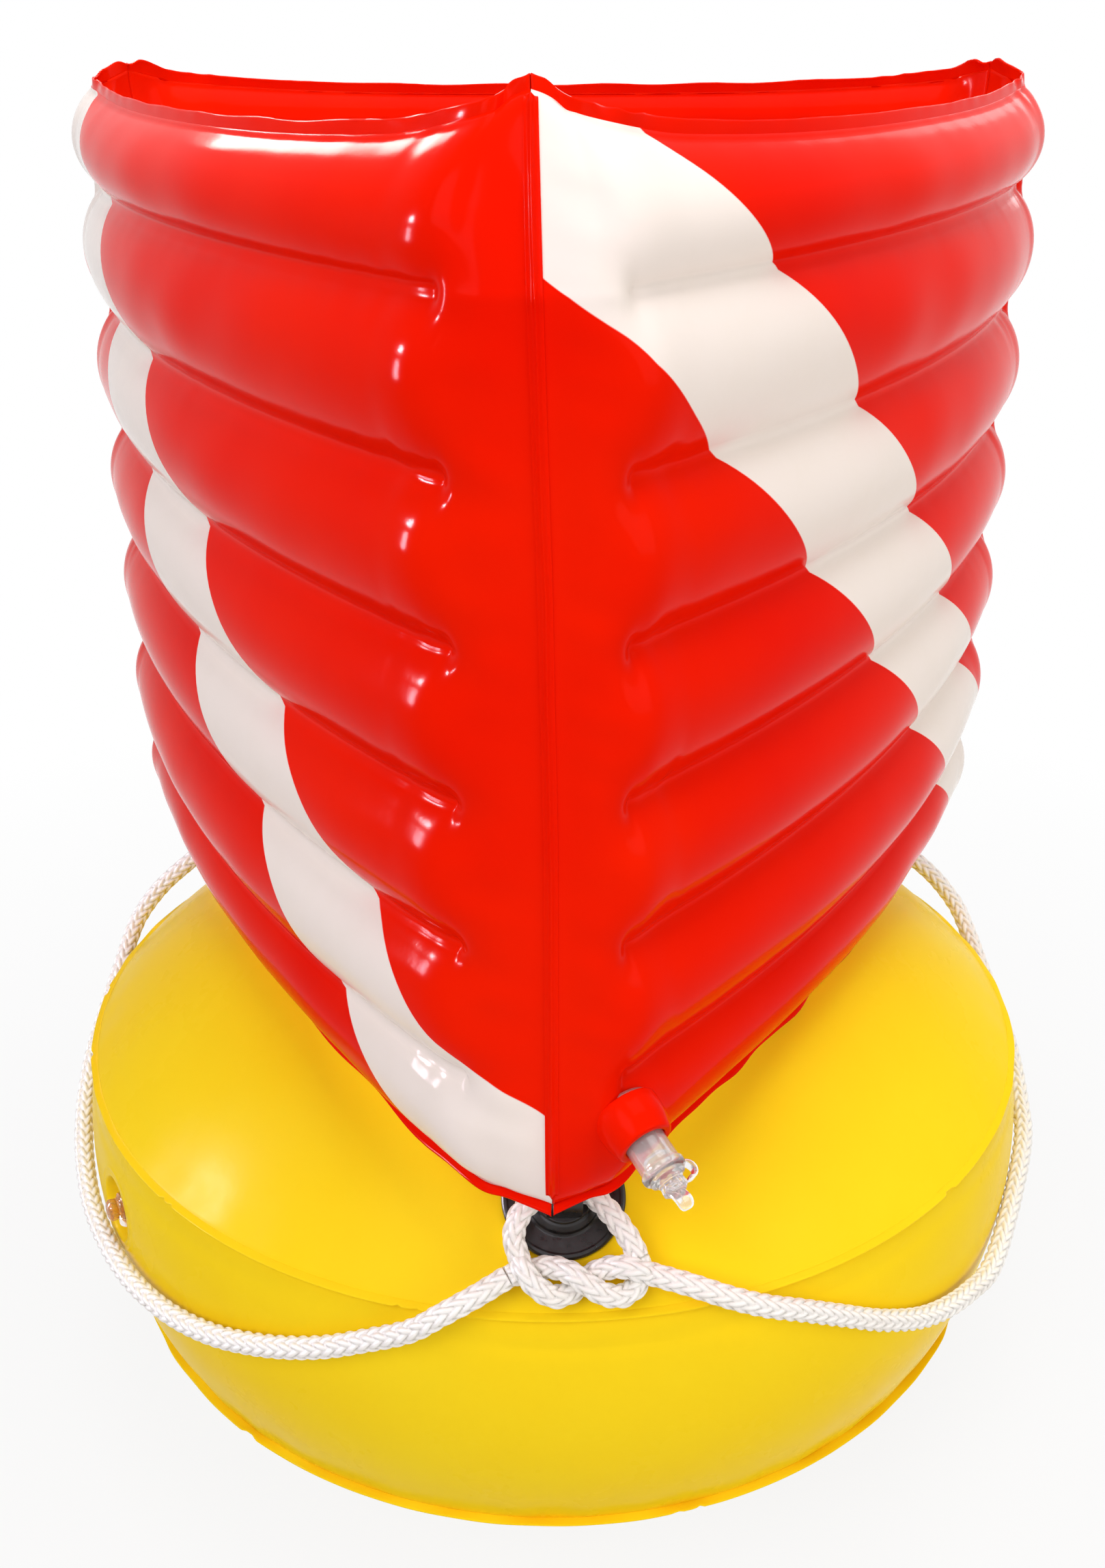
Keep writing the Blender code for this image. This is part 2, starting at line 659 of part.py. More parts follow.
def make_flag_valve(panel, groups, red, clear):
    matrix = flag_valve_matrix()
    bore = STEM_RADIUS + GAP
    foot = bore + COLLAR_WALL + GAP
    brim = foot - COLLAR_TAPER
    edge = COLLAR_TAPER / 2
    profile = [
        (brim - edge, COLLAR_HEIGHT), (brim, COLLAR_HEIGHT - edge), (foot, COLLAR_SHOULDER),
        (foot, -COLLAR_DEPTH), (bore, -COLLAR_DEPTH), (bore, COLLAR_HEIGHT),
    ]
    turned("flag_valve_collar", profile, groups[0], red, VALVE_STEPS, closed=True, matrix=matrix)
    drill(panel, "flag_valve_hole", foot + GAP, matrix, groups[1])
    stem = matrix @ Matrix.Translation((0, 0, -COLLAR_DEPTH - GAP))
    make_valve("flag_valve", stem, groups, clear, True)


def float_valve_matrix():
    step = GAP
    height = RING_HEIGHT - FLOAT_VALVE_DROP
    slope = (wall_radius(height + step) - wall_radius(height - step)) / (2 * step)
    radial = turn_about_axis(FLOAT_VALVE_AZIMUTH).to_3x3() @ Vector((1, 0, 0))
    origin = radial * wall_radius(height) + Vector((0, 0, height))
    outward = radial - Vector((0, 0, slope))
    return frame_matrix(origin, outward, radial.cross(Vector((0, 0, -1))))


def make_float_valve(side_wall, groups, yellow, clear):
    matrix = float_valve_matrix()
    bore = STEM_RADIUS + GAP
    middle = (CUP_RADIUS + bore) / 2
    shoulder = -CUP_SHOULDER_SHARE * CUP_DEPTH
    profile = [
        (CUP_RADIUS, 0), (CUP_RADIUS, -CUP_WALL), (middle + CUP_WALL, shoulder - CUP_WALL),
        (bore, -CUP_DEPTH - CUP_WALL), (bore, -CUP_DEPTH), (middle, shoulder),
        (CUP_RADIUS - CUP_WALL, -CUP_WALL / 2),
    ]
    turned("float_valve_cup", profile, groups[0], yellow, VALVE_STEPS, closed=True, matrix=matrix)
    drill(side_wall, "float_valve_hole", CUP_RADIUS + GAP, matrix, groups[1])
    stem = matrix @ Matrix.Translation((0, 0, -FLOAT_VALVE_SINK))
    make_valve("float_valve", stem, groups, clear, False)


# Rope: smooth curves through the routes' points
def cylindrical(azimuth, radius, height):
    angle = math.radians(azimuth + LINE_TURN)
    return Vector((radius * math.cos(angle), radius * math.sin(angle), height))


def rising(place, side, points):
    """The points of a drape, to one side of its middle."""
    middle = DRAPE_AZIMUTHS[place]
    return [cylindrical(middle + side * azimuth, radius, height) for azimuth, radius, height in points]


def smooth_route(points, spacing):
    """A Catmull-Rom curve through the points, read once in a spacing and more often in bends.

    The first and the last run stay straight.
    """
    fine = []
    for index in range(1, len(points) - 2):
        before, start, end, after = points[index - 1:index + 3]
        for step in range(CURVE_STEPS):
            t = step / CURVE_STEPS
            fine.append(0.5 * (
                2 * start + (end - before) * t
                + (2 * before - 5 * start + 4 * end - after) * t ** 2
                + (3 * start - before - 3 * end + after) * t ** 3))
    fine.append(points[-2])
    fine.append(points[-1])
    route = [points[0], points[1]]
    heading = points[1] - points[0]
    for index in range(1, len(fine) - 2):
        ahead = fine[index + 1] - fine[index]
        far = (fine[index] - route[-1]).length > spacing
        turned_off = ahead.angle(heading) > math.radians(ROPE_TURN)
        if far or turned_off:
            route.append(fine[index])
            heading = ahead
    if (points[-2] - route[-1]).length < ROPE_RADIUS:
        route.pop()
    return route + [points[-2], points[-1]]


def shorten(route, start, end):
    """Draws the route's ends in along themselves."""
    route[0] = route[0] + (route[1] - route[0]).normalized() * start
    route[-1] = route[-1] + (route[-2] - route[-1]).normalized() * end
    return route


def rope(name, route, group, material):
    curve = bpy.data.curves.new(name, "CURVE")
    curve.dimensions = "3D"
    curve.bevel_depth = ROPE_RADIUS
    curve.bevel_resolution = 2
    curve.use_fill_caps = True
    spline = curve.splines.new("POLY")
    spline.points.add(len(route) - 1)
    for point, place in zip(spline.points, route):
        point.co = (*place, 1)
    return add_object(name, curve, group, material)


def make_rope(group, material):
    left = [cylindrical(*point) for point in LEFT_FRONT]
    left += rising("left", -1, RISE)
    right = [cylindrical(*point) for point in RIGHT_FRONT]
    right += rising("right", 1, RISE[1:])
    back = rising("back", 1, reversed(RISE)) + rising("back", -1, RISE)
    half = GAP / 2
    rope("rope_left", shorten(smooth_route(left, ROPE_SPACING), 0, half), group, material)
    rope("rope_right", shorten(smooth_route(right, ROPE_SPACING), 0, half), group, material)
    rope("rope_back", shorten(smooth_route(back, ROPE_SPACING), half, half), group, material)
    front = holder_matrix(CORNER_AZIMUTHS["front"] + LINE_TURN)
    bight = [front @ Vector(point) for point in BIGHT]
    rope("rope_bight", smooth_route(bight, ROPE_RADIUS), group, material)

    form = bmesh.new()
    bmesh.ops.create_uvsphere(form, u_segments=12, v_segments=8, radius=1)
    bmesh.ops.scale(form, vec=KNOT_HALF_SIZES, verts=form.verts)
    mesh = bpy.data.meshes.new("rope_knot")
    form.to_mesh(mesh)
    form.free()
    add_object("rope_knot", mesh, group, material, front @ Matrix.Translation(KNOT_PLACE))


def main():
    clear_scene()
    group = new_collection("dive_flag_float")
    cutters = new_collection("cutters")
    red = make_material("red_film", RED, 0.22)
    yellow = make_material("yellow_film", YELLOW, 0.30)
    black = make_material("black_rubber", BLACK, 0.45)
    clear = make_material("clear_vinyl", CLEAR, 0.10)
    white = make_material("white_rope", WHITE, 0.60)
    side_wall = make_drum(group, yellow)
    panels = make_flag(group, red)
    make_corner_seams(group, red)
    make_holders(group, black)
    make_flag_valve(panels["front_right"], (group, cutters), red, clear)
    make_float_valve(side_wall, (group, cutters), yellow, clear)
    make_rope(group, white)
    for item in group.objects:
        if item.type == "MESH" and item.data.polygons:
            smooth(item)


main()
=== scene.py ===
# Dive flag float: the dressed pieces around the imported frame.
# Metres, +Z up, the drum's resting patch at the origin, the flag's front corner towards -Y.
import math

import bmesh
import bpy
import numpy as np
from mathutils import Matrix, Vector


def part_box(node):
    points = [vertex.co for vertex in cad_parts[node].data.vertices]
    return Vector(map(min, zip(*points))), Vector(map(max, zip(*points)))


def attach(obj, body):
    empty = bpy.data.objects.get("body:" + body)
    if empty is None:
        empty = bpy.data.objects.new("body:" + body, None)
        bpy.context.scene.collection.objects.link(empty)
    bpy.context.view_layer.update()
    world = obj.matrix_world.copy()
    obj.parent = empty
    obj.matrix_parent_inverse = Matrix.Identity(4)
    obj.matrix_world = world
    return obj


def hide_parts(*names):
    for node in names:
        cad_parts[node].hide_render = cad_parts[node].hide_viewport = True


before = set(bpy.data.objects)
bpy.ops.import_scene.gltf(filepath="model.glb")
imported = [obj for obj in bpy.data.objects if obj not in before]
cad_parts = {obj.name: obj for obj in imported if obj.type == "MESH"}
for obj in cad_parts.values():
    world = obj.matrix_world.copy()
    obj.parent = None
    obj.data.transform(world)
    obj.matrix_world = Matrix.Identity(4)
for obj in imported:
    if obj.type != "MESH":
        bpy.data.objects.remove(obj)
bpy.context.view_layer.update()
print("frame loaded")

camera = {
    "place": (0.01466, -0.59085, 0.53491),
    "pitch": 0.4485,      # radians below level
    "yaw": -0.0246,
    "roll": -0.0028,
    "lens": 52.15,        # mm on a 36 mm wide frame
}

drum = {
    "ringRadius": 0.193,
    "ringHeight": 0.150,
    "domeRadius": 0.2624,
    "lowRadius": 0.183,
    "lowHeight": 0.043,
    "wallBulge": 0.010,
    "restRadius": 0.085,
    "heart": (0, 0, 0.09),      # a point inside, which the rope's upper side looks away from
}

corners = {"front": -90, "back_right": 30, "back_left": 150}
faces = {"front_left": 210, "front_right": 330, "back": 90}
cornerWay = np.array([0.5, math.sqrt(0.75)])    # from a face's middle towards its corner: out and along
mergeDistance = 0.000005


# Numbers and grids

def unit(vectors):
    # each vector over its own length
    return vectors / np.linalg.norm(vectors, axis=-1, keepdims=True)


def ease(x):
    # 3x^2 - 2x^3, from 0 to 1
    x = np.clip(x, 0, 1)
    return x * x * (3 - 2 * x)


def bell(x, middle, half):
    # e^-((x - middle) / half)^2
    return np.exp(-((x - middle) / half) ** 2)


def fade(distance, reach):
    # e^-(distance / reach)
    return np.exp(-distance / reach)


def squarer(wave, power):
    # a sine or cosine with its size to a power under 1, for sections with flatter sides
    return np.sign(wave) * np.abs(wave) ** power


def waves(x, shortest, longest, seed, count=7):
    # the mean of some sines of x, each of its own length and phase, about 1 high
    chance = np.random.default_rng(seed)
    lengths = chance.uniform(shortest, longest, count)
    phases = chance.uniform(0, math.tau, count)
    total = sum(np.sin(math.tau * x / length + phase) for length, phase in zip(lengths, phases))
    return total / math.sqrt(count)


def turnAboutZ(points, degrees):
    # x cos - y sin, x sin + y cos
    angle = math.radians(degrees)
    x = points[..., 0] * math.cos(angle) - points[..., 1] * math.sin(angle)
    y = points[..., 0] * math.sin(angle) + points[..., 1] * math.cos(angle)
    return np.stack([x, y, points[..., 2]], -1)


def placed(points, matrix):
    # rotation times point, plus the place
    turn = np.array(matrix.to_3x3())
    return points @ turn.T + np.array(matrix.translation)


def frameAt(origin, outward, across):
    # a frame whose Z leaves the skin and whose X runs across
    zAxis = Vector(outward).normalized()
    yAxis = zAxis.cross(Vector(across)).normalized()
    xAxis = yAxis.cross(zAxis)
    return Matrix.Translation(origin) @ Matrix((xAxis, yAxis, zAxis)).transposed().to_4x4()


def mapOf(first, second):
    # a grid's map: two numbers for each of its points
    return np.stack(np.broadcast_arrays(first, second), -1)


def addPiece(name, patches, material, nodes, body="buoy", thickness=0):
    # each patch is a grid of points with its own map; four neighbours make a quad
    points, quads, maps = [], [], []
    start = 0
    for patch in patches:
        grid = patch["points"]
        rows, columns = grid.shape[:2]
        index = start + np.arange(rows * columns).reshape(rows, columns)
        quad = np.stack([index[:-1, :-1], index[:-1, 1:], index[1:, 1:], index[1:, :-1]], -1).reshape(-1, 4)
        quads.append(quad[:, ::-1] if patch.get("flip") else quad)
        points.append(grid.reshape(-1, 3))
        maps.append(patch["map"].reshape(-1, 2))
        start += rows * columns
    points, quads, maps = np.vstack(points), np.vstack(quads), np.vstack(maps)
    mesh = bpy.data.meshes.new(name)
    mesh.vertices.add(len(points))
    mesh.vertices.foreach_set("co", points.astype(np.float32).ravel())
    mesh.loops.add(quads.size)
    mesh.loops.foreach_set("vertex_index", quads.astype(np.int32).ravel())
    mesh.polygons.add(len(quads))
    mesh.polygons.foreach_set("loop_start", np.arange(0, quads.size, 4, dtype=np.int32))
    mesh.update(calc_edges=True)
    layer = mesh.uv_layers.new(name="skin")
    layer.data.foreach_set("uv", maps[quads.ravel()].astype(np.float32).ravel())
    form = bmesh.new()
    form.from_mesh(mesh)
    bmesh.ops.remove_doubles(form, verts=form.verts, dist=mergeDistance)
    form.to_mesh(mesh)
    form.free()
    mesh.shade_smooth()
    mesh.materials.append(material)
    piece = bpy.data.objects.new(name, mesh)
    bpy.context.scene.collection.objects.link(piece)
    if thickness:
        wall = piece.modifiers.new("thickness", "SOLIDIFY")
        wall.thickness = thickness
        wall.offset = 0
    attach(piece, body)
    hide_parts(*nodes)
    return piece


def slabPatches(top, under, topMap, plain, flip=False):
    # two grids, and the four strips between their edges
    strips = [
        (np.stack([top[-1], under[-1]]), np.stack([plain[-1]] * 2)),
        (np.stack([under[0], top[0]]), np.stack([plain[0]] * 2)),
        (np.stack([top[:, -1], under[:, -1]], 1), np.stack([plain[:, -1]] * 2, 1)),
        (np.stack([under[:, 0], top[:, 0]], 1), np.stack([plain[:, 0]] * 2, 1)),
    ]
    skins = [{"points": top, "map": topMap, "flip": flip}, {"points": under, "map": plain, "flip": not flip}]
    return skins + [{"points": points, "map": skin, "flip": flip} for points, skin in strips]


def endCaps(grid, middles, skin):
    # a fan at each end of a tube, from the middle to the last ring
    caps = []
    for row, way in ((0, 1), (-1, -1)):
        fan = np.stack([np.broadcast_to(middles[row], grid[row].shape), grid[row]])[::way]
        caps.append({"points": fan, "map": np.stack([skin[row]] * 2), "flip": True})
    return caps


def rounded(profile, size, closed=False, steps=4):
    # each corner becomes the curve (1-t)^2 a + 2t(1-t) corner + t^2 b, a and b a little way along its sides
    profile = np.array(profile, float)
    before, after = np.roll(profile, 1, 0), np.roll(profile, -1, 0)
    toBefore, toAfter = before - profile, after - profile
    reachBefore = np.linalg.norm(toBefore, axis=1, keepdims=True) + 1e-12
    reachAfter = np.linalg.norm(toAfter, axis=1, keepdims=True) + 1e-12
    a = profile + toBefore * np.minimum(size / reachBefore, 0.45)
    b = profile + toAfter * np.minimum(size / reachAfter, 0.45)
    t = np.linspace(0, 1, steps + 1)[None, :, None]
    curve = (1 - t) ** 2 * a[:, None] + 2 * t * (1 - t) * profile[:, None] + t ** 2 * b[:, None]
    if closed:
        curve = curve.reshape(-1, 2)
        return np.vstack([curve, curve[:1]])
    return np.vstack([profile[:1], curve[1:-1].reshape(-1, 2), profile[-1:]])


def turnedPatch(profile, matrix, steps=72, flute=None):
    # (r cos a, r sin a, z) for each point of the profile, which runs down its outer side
    angle = np.linspace(0, math.tau, steps + 1)
    radius = profile[:, :1] * np.ones_like(angle)
    height = profile[:, 1:] * np.ones_like(angle)
    if flute is not None:
        radius = radius + flute(angle, height)
    grid = np.stack([radius * np.cos(angle), radius * np.sin(angle), height], -1)
    length = np.cumsum(np.r_[0, np.linalg.norm(np.diff(profile, axis=0), axis=1)])
    across, along = np.meshgrid(angle / math.tau * 0.1, length)
    return {"points": placed(grid, matrix), "map": np.stack([across, along], -1), "flip": True}


# Materials

def newMaterial(name):
    # a material, its node tree and its shader
    material = bpy.data.materials.new(name)
    material.use_nodes = True
    tree = material.node_tree
    return material, tree, tree.nodes["Principled BSDF"]


def setNode(tree, node, **values):
    # plain settings by set_name, and sockets by at_number or by name, each to a value or a link
    for key, value in values.items():
        if key.startswith("set_"):
            setattr(node, key[4:], value)
            continue
        socket = node.inputs[int(key[3:])] if key.startswith("at_") else node.inputs[key.replace("_", " ")]
        if isinstance(value, bpy.types.NodeSocket):
            tree.links.new(value, socket)
        else:
            socket.default_value = value
    return node


def addNode(tree, kind, **values):
    # a new node with those values
    return setNode(tree, tree.nodes.new("ShaderNode" + kind), **values)


def noise(tree, vector, scale, detail=3, roughness=0.5):
    # cloudy values from 0 to 1
    made = addNode(tree, "TexNoise", Vector=vector, Scale=scale, Detail=detail, Roughness=roughness)
    return made.outputs["Fac"]


def spread(tree, value, low, high, fromLow=0.3, fromHigh=0.7):
    # a value between two others, by where another lies between its own two
    made = addNode(tree, "MapRange", Value=value, From_Min=fromLow, From_Max=fromHigh, To_Min=low, To_Max=high)
    return made.outputs["Result"]


def mixColour(tree, share, first, second):
    # first * (1 - share) + second * share
    return addNode(tree, "Mix", set_data_type="RGBA", at_0=share, at_6=first, at_7=second).outputs[2]


def calculate(tree, operation, first, second=0.0):
    # first and second put through a plain operation
    return addNode(tree, "Math", set_operation=operation, at_0=first, at_1=second).outputs[0]


def addBump(tree, shader, height, strength, distance):
    # the shading's normal tipped by the slope of a height
    bump = addNode(tree, "Bump", Height=height, Strength=strength, Distance=distance)
    setNode(tree, shader, Normal=bump.outputs["Normal"])


def plainRay(tree):
    # 1 for what the camera sees directly, in gloss or through clear parts, and 0 for the light it gives
    seen = addNode(tree, "LightPath").outputs
    kinds = [seen[kind + " Ray"] for kind in ("Is Camera", "Is Glossy", "Is Transmission")]
    return calculate(tree, "MAXIMUM", calculate(tree, "MAXIMUM", kinds[0], kinds[1]), kinds[2])


filmLook = {
    "red": (0.91, 0.0125, 0.0003, 1),
    "redDeep": (0.84, 0.0055, 0.0002, 1),
    "redShine": (1.0, 0.75, 0.68, 1),
    "white": (0.93, 0.83, 0.76, 1),
    "whiteDull": (0.92, 0.82, 0.74, 1),
    "yellow": (1.0, 0.725, 0.016, 1),
    "yellowDeep": (0.99, 0.67, 0.010, 1),
    "yellowShine": (1.0, 0.9, 0.6, 1),
    "redGloss": (0.09, 0.16),   # roughness from and to
    "yellowGloss": (0.22, 0.34),
    "ior": 1.08,
    "mottle": 9,                # scales of the noise
    "scuffs": 60,
    "smears": 24,
    "peel": 420,
    "peelBump": (0.06, 0.0004),
    "stripeSlope": 1.1655,      # along the face for each of the flag's heights
    "stripeLow": -0.7096,       # the band's lower left edge at the top of the flag, in flag heights
    "stripeHigh": -0.4657,
    "flagHeight": 0.320,
    "flagFoot": 0.200,
    "stripeMargin": 0.1812,     # the print stops this far left of a face's middle
    "edge": 0.00025,
}


def bandShare(tree, along, height):
    # 1 in the printed band and 0 beside it: along + slope * height is the same all along the band's edges
    look = filmLook
    slope = look["stripeSlope"]
    slanted = addNode(tree, "Math", set_operation="MULTIPLY_ADD", at_0=height, at_1=slope, at_2=along)
    slanted = slanted.outputs[0]
    top = slope * look["flagHeight"]
    low = look["stripeLow"] * look["flagHeight"] + top
    high = look["stripeHigh"] * look["flagHeight"] + top
    left, edge = -look["stripeMargin"], look["edge"]
    above = spread(tree, slanted, 0, 1, low - edge, low + edge)
    below = spread(tree, slanted, 1, 0, high - edge, high + edge)
    inside = spread(tree, along, 0, 1, left - edge, left + edge)
    return calculate(tree, "MULTIPLY", calculate(tree, "MULTIPLY", above, below), inside)


def filmMaterial(name, hue, printed=False):
    # glossy soft film: a faint mottle in colour and gloss, and a shallow orange-peel bump
    look = filmLook
    material, tree, shader = newMaterial(name)
    where = addNode(tree, "TexCoord").outputs["Object"]
    mottle = noise(tree, where, look["mottle"], 4)
    base = mixColour(tree, spread(tree, mottle, 0, 1), look[hue], look[hue + "Deep"])
    if printed:
        skin = addNode(tree, "UVMap", set_uv_map="skin").outputs[0]
        parts = addNode(tree, "SeparateXYZ", at_0=skin).outputs
        scuffs = noise(tree, where, look["scuffs"], 5, 0.7)
        pale = mixColour(tree, spread(tree, scuffs, 0, 1, 0.45, 0.8), look["white"], look["whiteDull"])
        base = mixColour(tree, bandShare(tree, parts[0], parts[1]), base, pale)
    gloss = spread(tree, noise(tree, where, look["smears"], 4, 0.6), *look[hue + "Gloss"])
    setNode(tree, shader, Base_Color=base, Roughness=gloss, IOR=look["ior"], Specular_Tint=look[hue + "Shine"])
    addBump(tree, shader, noise(tree, where, look["peel"], 3), *look["peelBump"])
    return material


vinylLook = {
    "black": {"colour": (0.010, 0.008, 0.008, 1), "roughness": 0.34, "clear": 0.0},
    "clear": {"colour": (0.95, 0.93, 0.91, 1), "roughness": 0.10, "clear": 0.85},
    # the float valve's clear vinyl tinted dark orange: painted shade of the cup it sits in, with the yellow
    # film seen through it
    "cupShaded": {"colour": (0.86, 0.50, 0.10, 1), "roughness": 0.16, "clear": 0.75},
    "dull": 0.82,               # how dark its clouds are
    "clouds": 160,              # scales of the noise
    "smears": 300,
    "grain": 900,
    "grainBump": (0.12, 0.0003),
    "ior": 1.48,
}


def vinylMaterial(kind):
    # moulded vinyl: clear (the float valve's clear vinyl tinted with painted shade of its cup), or solid with a
    # fine mould texture
    look, own = vinylLook, vinylLook[kind]
    material, tree, shader = newMaterial(kind + "Vinyl")
    where = addNode(tree, "TexCoord").outputs["Object"]
    cloud = noise(tree, where, look["clouds"], 4)
    dull = tuple(look["dull"] * value for value in own["colour"][:3]) + (1,)
    base = mixColour(tree, spread(tree, cloud, 0, 1), own["colour"], dull)
    gloss = spread(tree, noise(tree, where, look["smears"], 3), own["roughness"] * 0.7, own["roughness"] * 1.4)
    setNode(tree, shader, Base_Color=base, Roughness=gloss, IOR=look["ior"], Transmission_Weight=own["clear"])
    addBump(tree, shader, noise(tree, where, look["grain"], 3), *look["grainBump"])
    return material


yarnLook = {
    "dim": (0.93, 0.89, 0.82, 1),
    "bright": (1.0, 0.98, 0.94, 1),
    "grime": (0.78, 0.70, 0.58, 1),
    # the colour of the painted shade between the strands
    "gap": (0.34, 0.29, 0.23, 1),
    "gapShadeShare": 0.62,
    "gapShadePower": 5.0,
    "fibres": (9, 260, 1),      # lines across and along a strand
    "grimeScale": 45,
    "roughness": (0.34, 0.55),
    "sheen": 0.2,
    "subsurface": 0.08,
    "subsurfaceRadius": (0.002, 0.0018, 0.0015),
    "bump": (0.5, 0.0003),
}


def ropeMaterial():
    # bright filament yarn: fine lines along each strand, by the map's place across the strand, and painted
    # shade between the strands
    look = yarnLook
    material, tree, shader = newMaterial("braidedRope")
    skin = addNode(tree, "UVMap", set_uv_map="skin").outputs[0]
    where = addNode(tree, "TexCoord").outputs["Object"]
    stretched = addNode(tree, "Mapping", Vector=skin, Scale=look["fibres"]).outputs[0]
    lines = noise(tree, stretched, 1, 4, 0.65)
    shade = mixColour(tree, spread(tree, lines, 0, 1, 0.35, 0.65), look["dim"], look["bright"])
    grime = spread(tree, noise(tree, where, look["grimeScale"], 4), 0, 0.35, 0.5, 0.8)
    shade = mixColour(tree, grime, shade, look["grime"])
    # painted shade between the strands: darker where one strand dives beside another, (2 |across - 0.5|)^power
    column = addNode(tree, "SeparateXYZ", at_0=skin).outputs[0]
    aside = calculate(tree, "ABSOLUTE", calculate(tree, "SUBTRACT", calculate(tree, "FRACT", column), 0.5))
    gap = calculate(tree, "POWER", calculate(tree, "MULTIPLY", aside, 2.0), look["gapShadePower"])
    shade = mixColour(tree, spread(tree, gap, 0, look["gapShadeShare"], 0, 1), shade, look["gap"])
    setNode(tree, shader, Base_Color=shade, Roughness=spread(tree, lines, *look["roughness"]))
    setNode(tree, shader, Subsurface_Weight=look["subsurface"], Subsurface_Radius=look["subsurfaceRadius"])
    setNode(tree, shader, Sheen_Weight=look["sheen"])
    addBump(tree, shader, lines, *look["bump"])
    return material


redPrinted = filmMaterial("redPrintedFilm", "red", printed=True)
redFilm = filmMaterial("redFilm", "red")
yellowFilm = filmMaterial("yellowFilm", "yellow")
blackVinyl, clearVinyl, cupShadedVinyl = (vinylMaterial(kind) for kind in ("black", "clear", "cupShaded"))
braidedRope = ropeMaterial()
print("materials made")


# Camera

def makeCamera():
    # right and up turned by the roll, looking along yaw and pitch
    pitch, yaw, roll = camera["pitch"], camera["yaw"], camera["roll"]
    forward = Vector((math.sin(yaw) * math.cos(pitch), math.cos(yaw) * math.cos(pitch), -math.sin(pitch)))
    right = Vector((math.cos(yaw), -math.sin(yaw), 0))
    up = right.cross(forward)
    tiltedRight = math.cos(roll) * right + math.sin(roll) * up
    tiltedUp = -math.sin(roll) * right + math.cos(roll) * up
    data = bpy.data.cameras.new("camera")
    data.sensor_fit = "HORIZONTAL"
    data.sensor_width = 36
    data.lens = camera["lens"]
    data.clip_start = 0.01
    seat = bpy.data.objects.new("camera", data)
    bpy.context.scene.collection.objects.link(seat)
    turn = Matrix((tiltedRight, tiltedUp, -forward)).transposed().to_4x4()
    seat.matrix_world = Matrix.Translation(camera["place"]) @ turn
    bpy.context.scene.camera = seat


makeCamera()


# Rope: a braided line through the three eyes, with one knot at the front

rope = {
    "radius": 0.004,
    "plaits": 8,            # strands each way round
    "pitch": 0.0051,        # between strands along the rope
    "dive": 0.00062,        # how far a strand rises and dives
    "round": 0.00115,       # how round each strand is
    "strandWidth": 1.94,
    "step": 0.00045,
    "around": 56,
    "gap": 0.0003,
    "drapes": {"left": -150, "right": -30, "back": 90},
    "turn": 2.6,            # degrees that the eyes and the line stand round from the flag's corners
}

# azimuth in degrees, radius and height; rise runs from a drape's lowest point to an eye
rise = [
    (5, 0.2034, 0.1026), (13.5, 0.2034, 0.1058), (21.5, 0.2034, 0.1118), (29, 0.2031, 0.1202),
    (35.5, 0.2024, 0.1288), (41, 0.2021, 0.1385), (45.5, 0.2029, 0.1475), (48.3, 0.2018, 0.1552),
    (50.6, 0.1940, 0.1670), (53.0, 0.1838, 0.1772), (55.6, 0.1756, 0.1843), (57.7, 0.17384, 0.18586),
    (60, 0.17364, 0.18586),
]
leftFront = [
    (-95.7, 0.1918, 0.1644), (-98.3, 0.1968, 0.1608), (-101.6, 0.2018, 0.1552), (-104.5, 0.2029, 0.1475),
    (-109, 0.2021, 0.1385), (-114.5, 0.2024, 0.1288), (-121, 0.2031, 0.1202), (-128.5, 0.2034, 0.1118),
    (-136.5, 0.2034, 0.1058), (-145, 0.2034, 0.1026),
]
rightFront = [
    (-81.6, 0.1926, 0.1644), (-78.5, 0.1970, 0.1624), (-74.6, 0.2018, 0.1576), (-71, 0.2031, 0.1512),
    (-67, 0.2027, 0.1438), (-62.5, 0.2023, 0.1345), (-56, 0.2031, 0.1208), (-49, 0.2035, 0.1085),
    (-41, 0.2036, 0.1000), (-33, 0.2036, 0.0970),
]
# across, up the slope and above the skin of the front holder
bight = [
    (-0.0150, -0.0212, 0.0074), (-0.0166, -0.0165, 0.0086), (-0.0165, -0.0123, 0.0098),
    (-0.0146, -0.0076, 0.0113), (-0.0108, -0.0034, 0.0124), (-0.0057, -0.0004, 0.0129),
    (0.0, 0.0005, 0.0129), (0.0057, -0.0004, 0.0129), (0.0108, -0.0034, 0.0125),
    (0.0153, -0.0080, 0.0115), (0.0191, -0.0128, 0.0101), (0.0220, -0.0173, 0.0086),
    (0.0238, -0.0212, 0.0074),
]
# the two strands of the knot: from the bight's left end to the right tail, and from its right end to the left
knotRight = [
    (-0.0136, -0.0252, 0.0094), (-0.0098, -0.0300, 0.0082), (-0.0040, -0.0330, 0.0060),
    (0.0020, -0.0312, 0.0040), (0.0072, -0.0270, 0.0042), (0.0130, -0.0246, 0.0066),
    (0.0190, -0.0246, 0.0092), (0.0236, -0.0256, 0.0088),
]
knotLeft = [
    (0.0246, -0.0250, 0.0046), (0.0232, -0.0296, 0.0036), (0.0184, -0.0330, 0.0050),
    (0.0124, -0.0328, 0.0078), (0.0066, -0.0298, 0.0100), (0.0016, -0.0262, 0.0096),
    (-0.0046, -0.0238, 0.0062), (-0.0110, -0.0242, 0.0036),
]


def domeHeight(radius):
    # a sphere's cap through the top ring
    middle = drum["ringHeight"] - math.sqrt(drum["domeRadius"] ** 2 - drum["ringRadius"] ** 2)
    return middle + np.sqrt(drum["domeRadius"] ** 2 - radius ** 2)


def domeSlope(radius):
    # the angle whose sine is the radius over the sphere's
    return math.asin(radius / drum["domeRadius"])


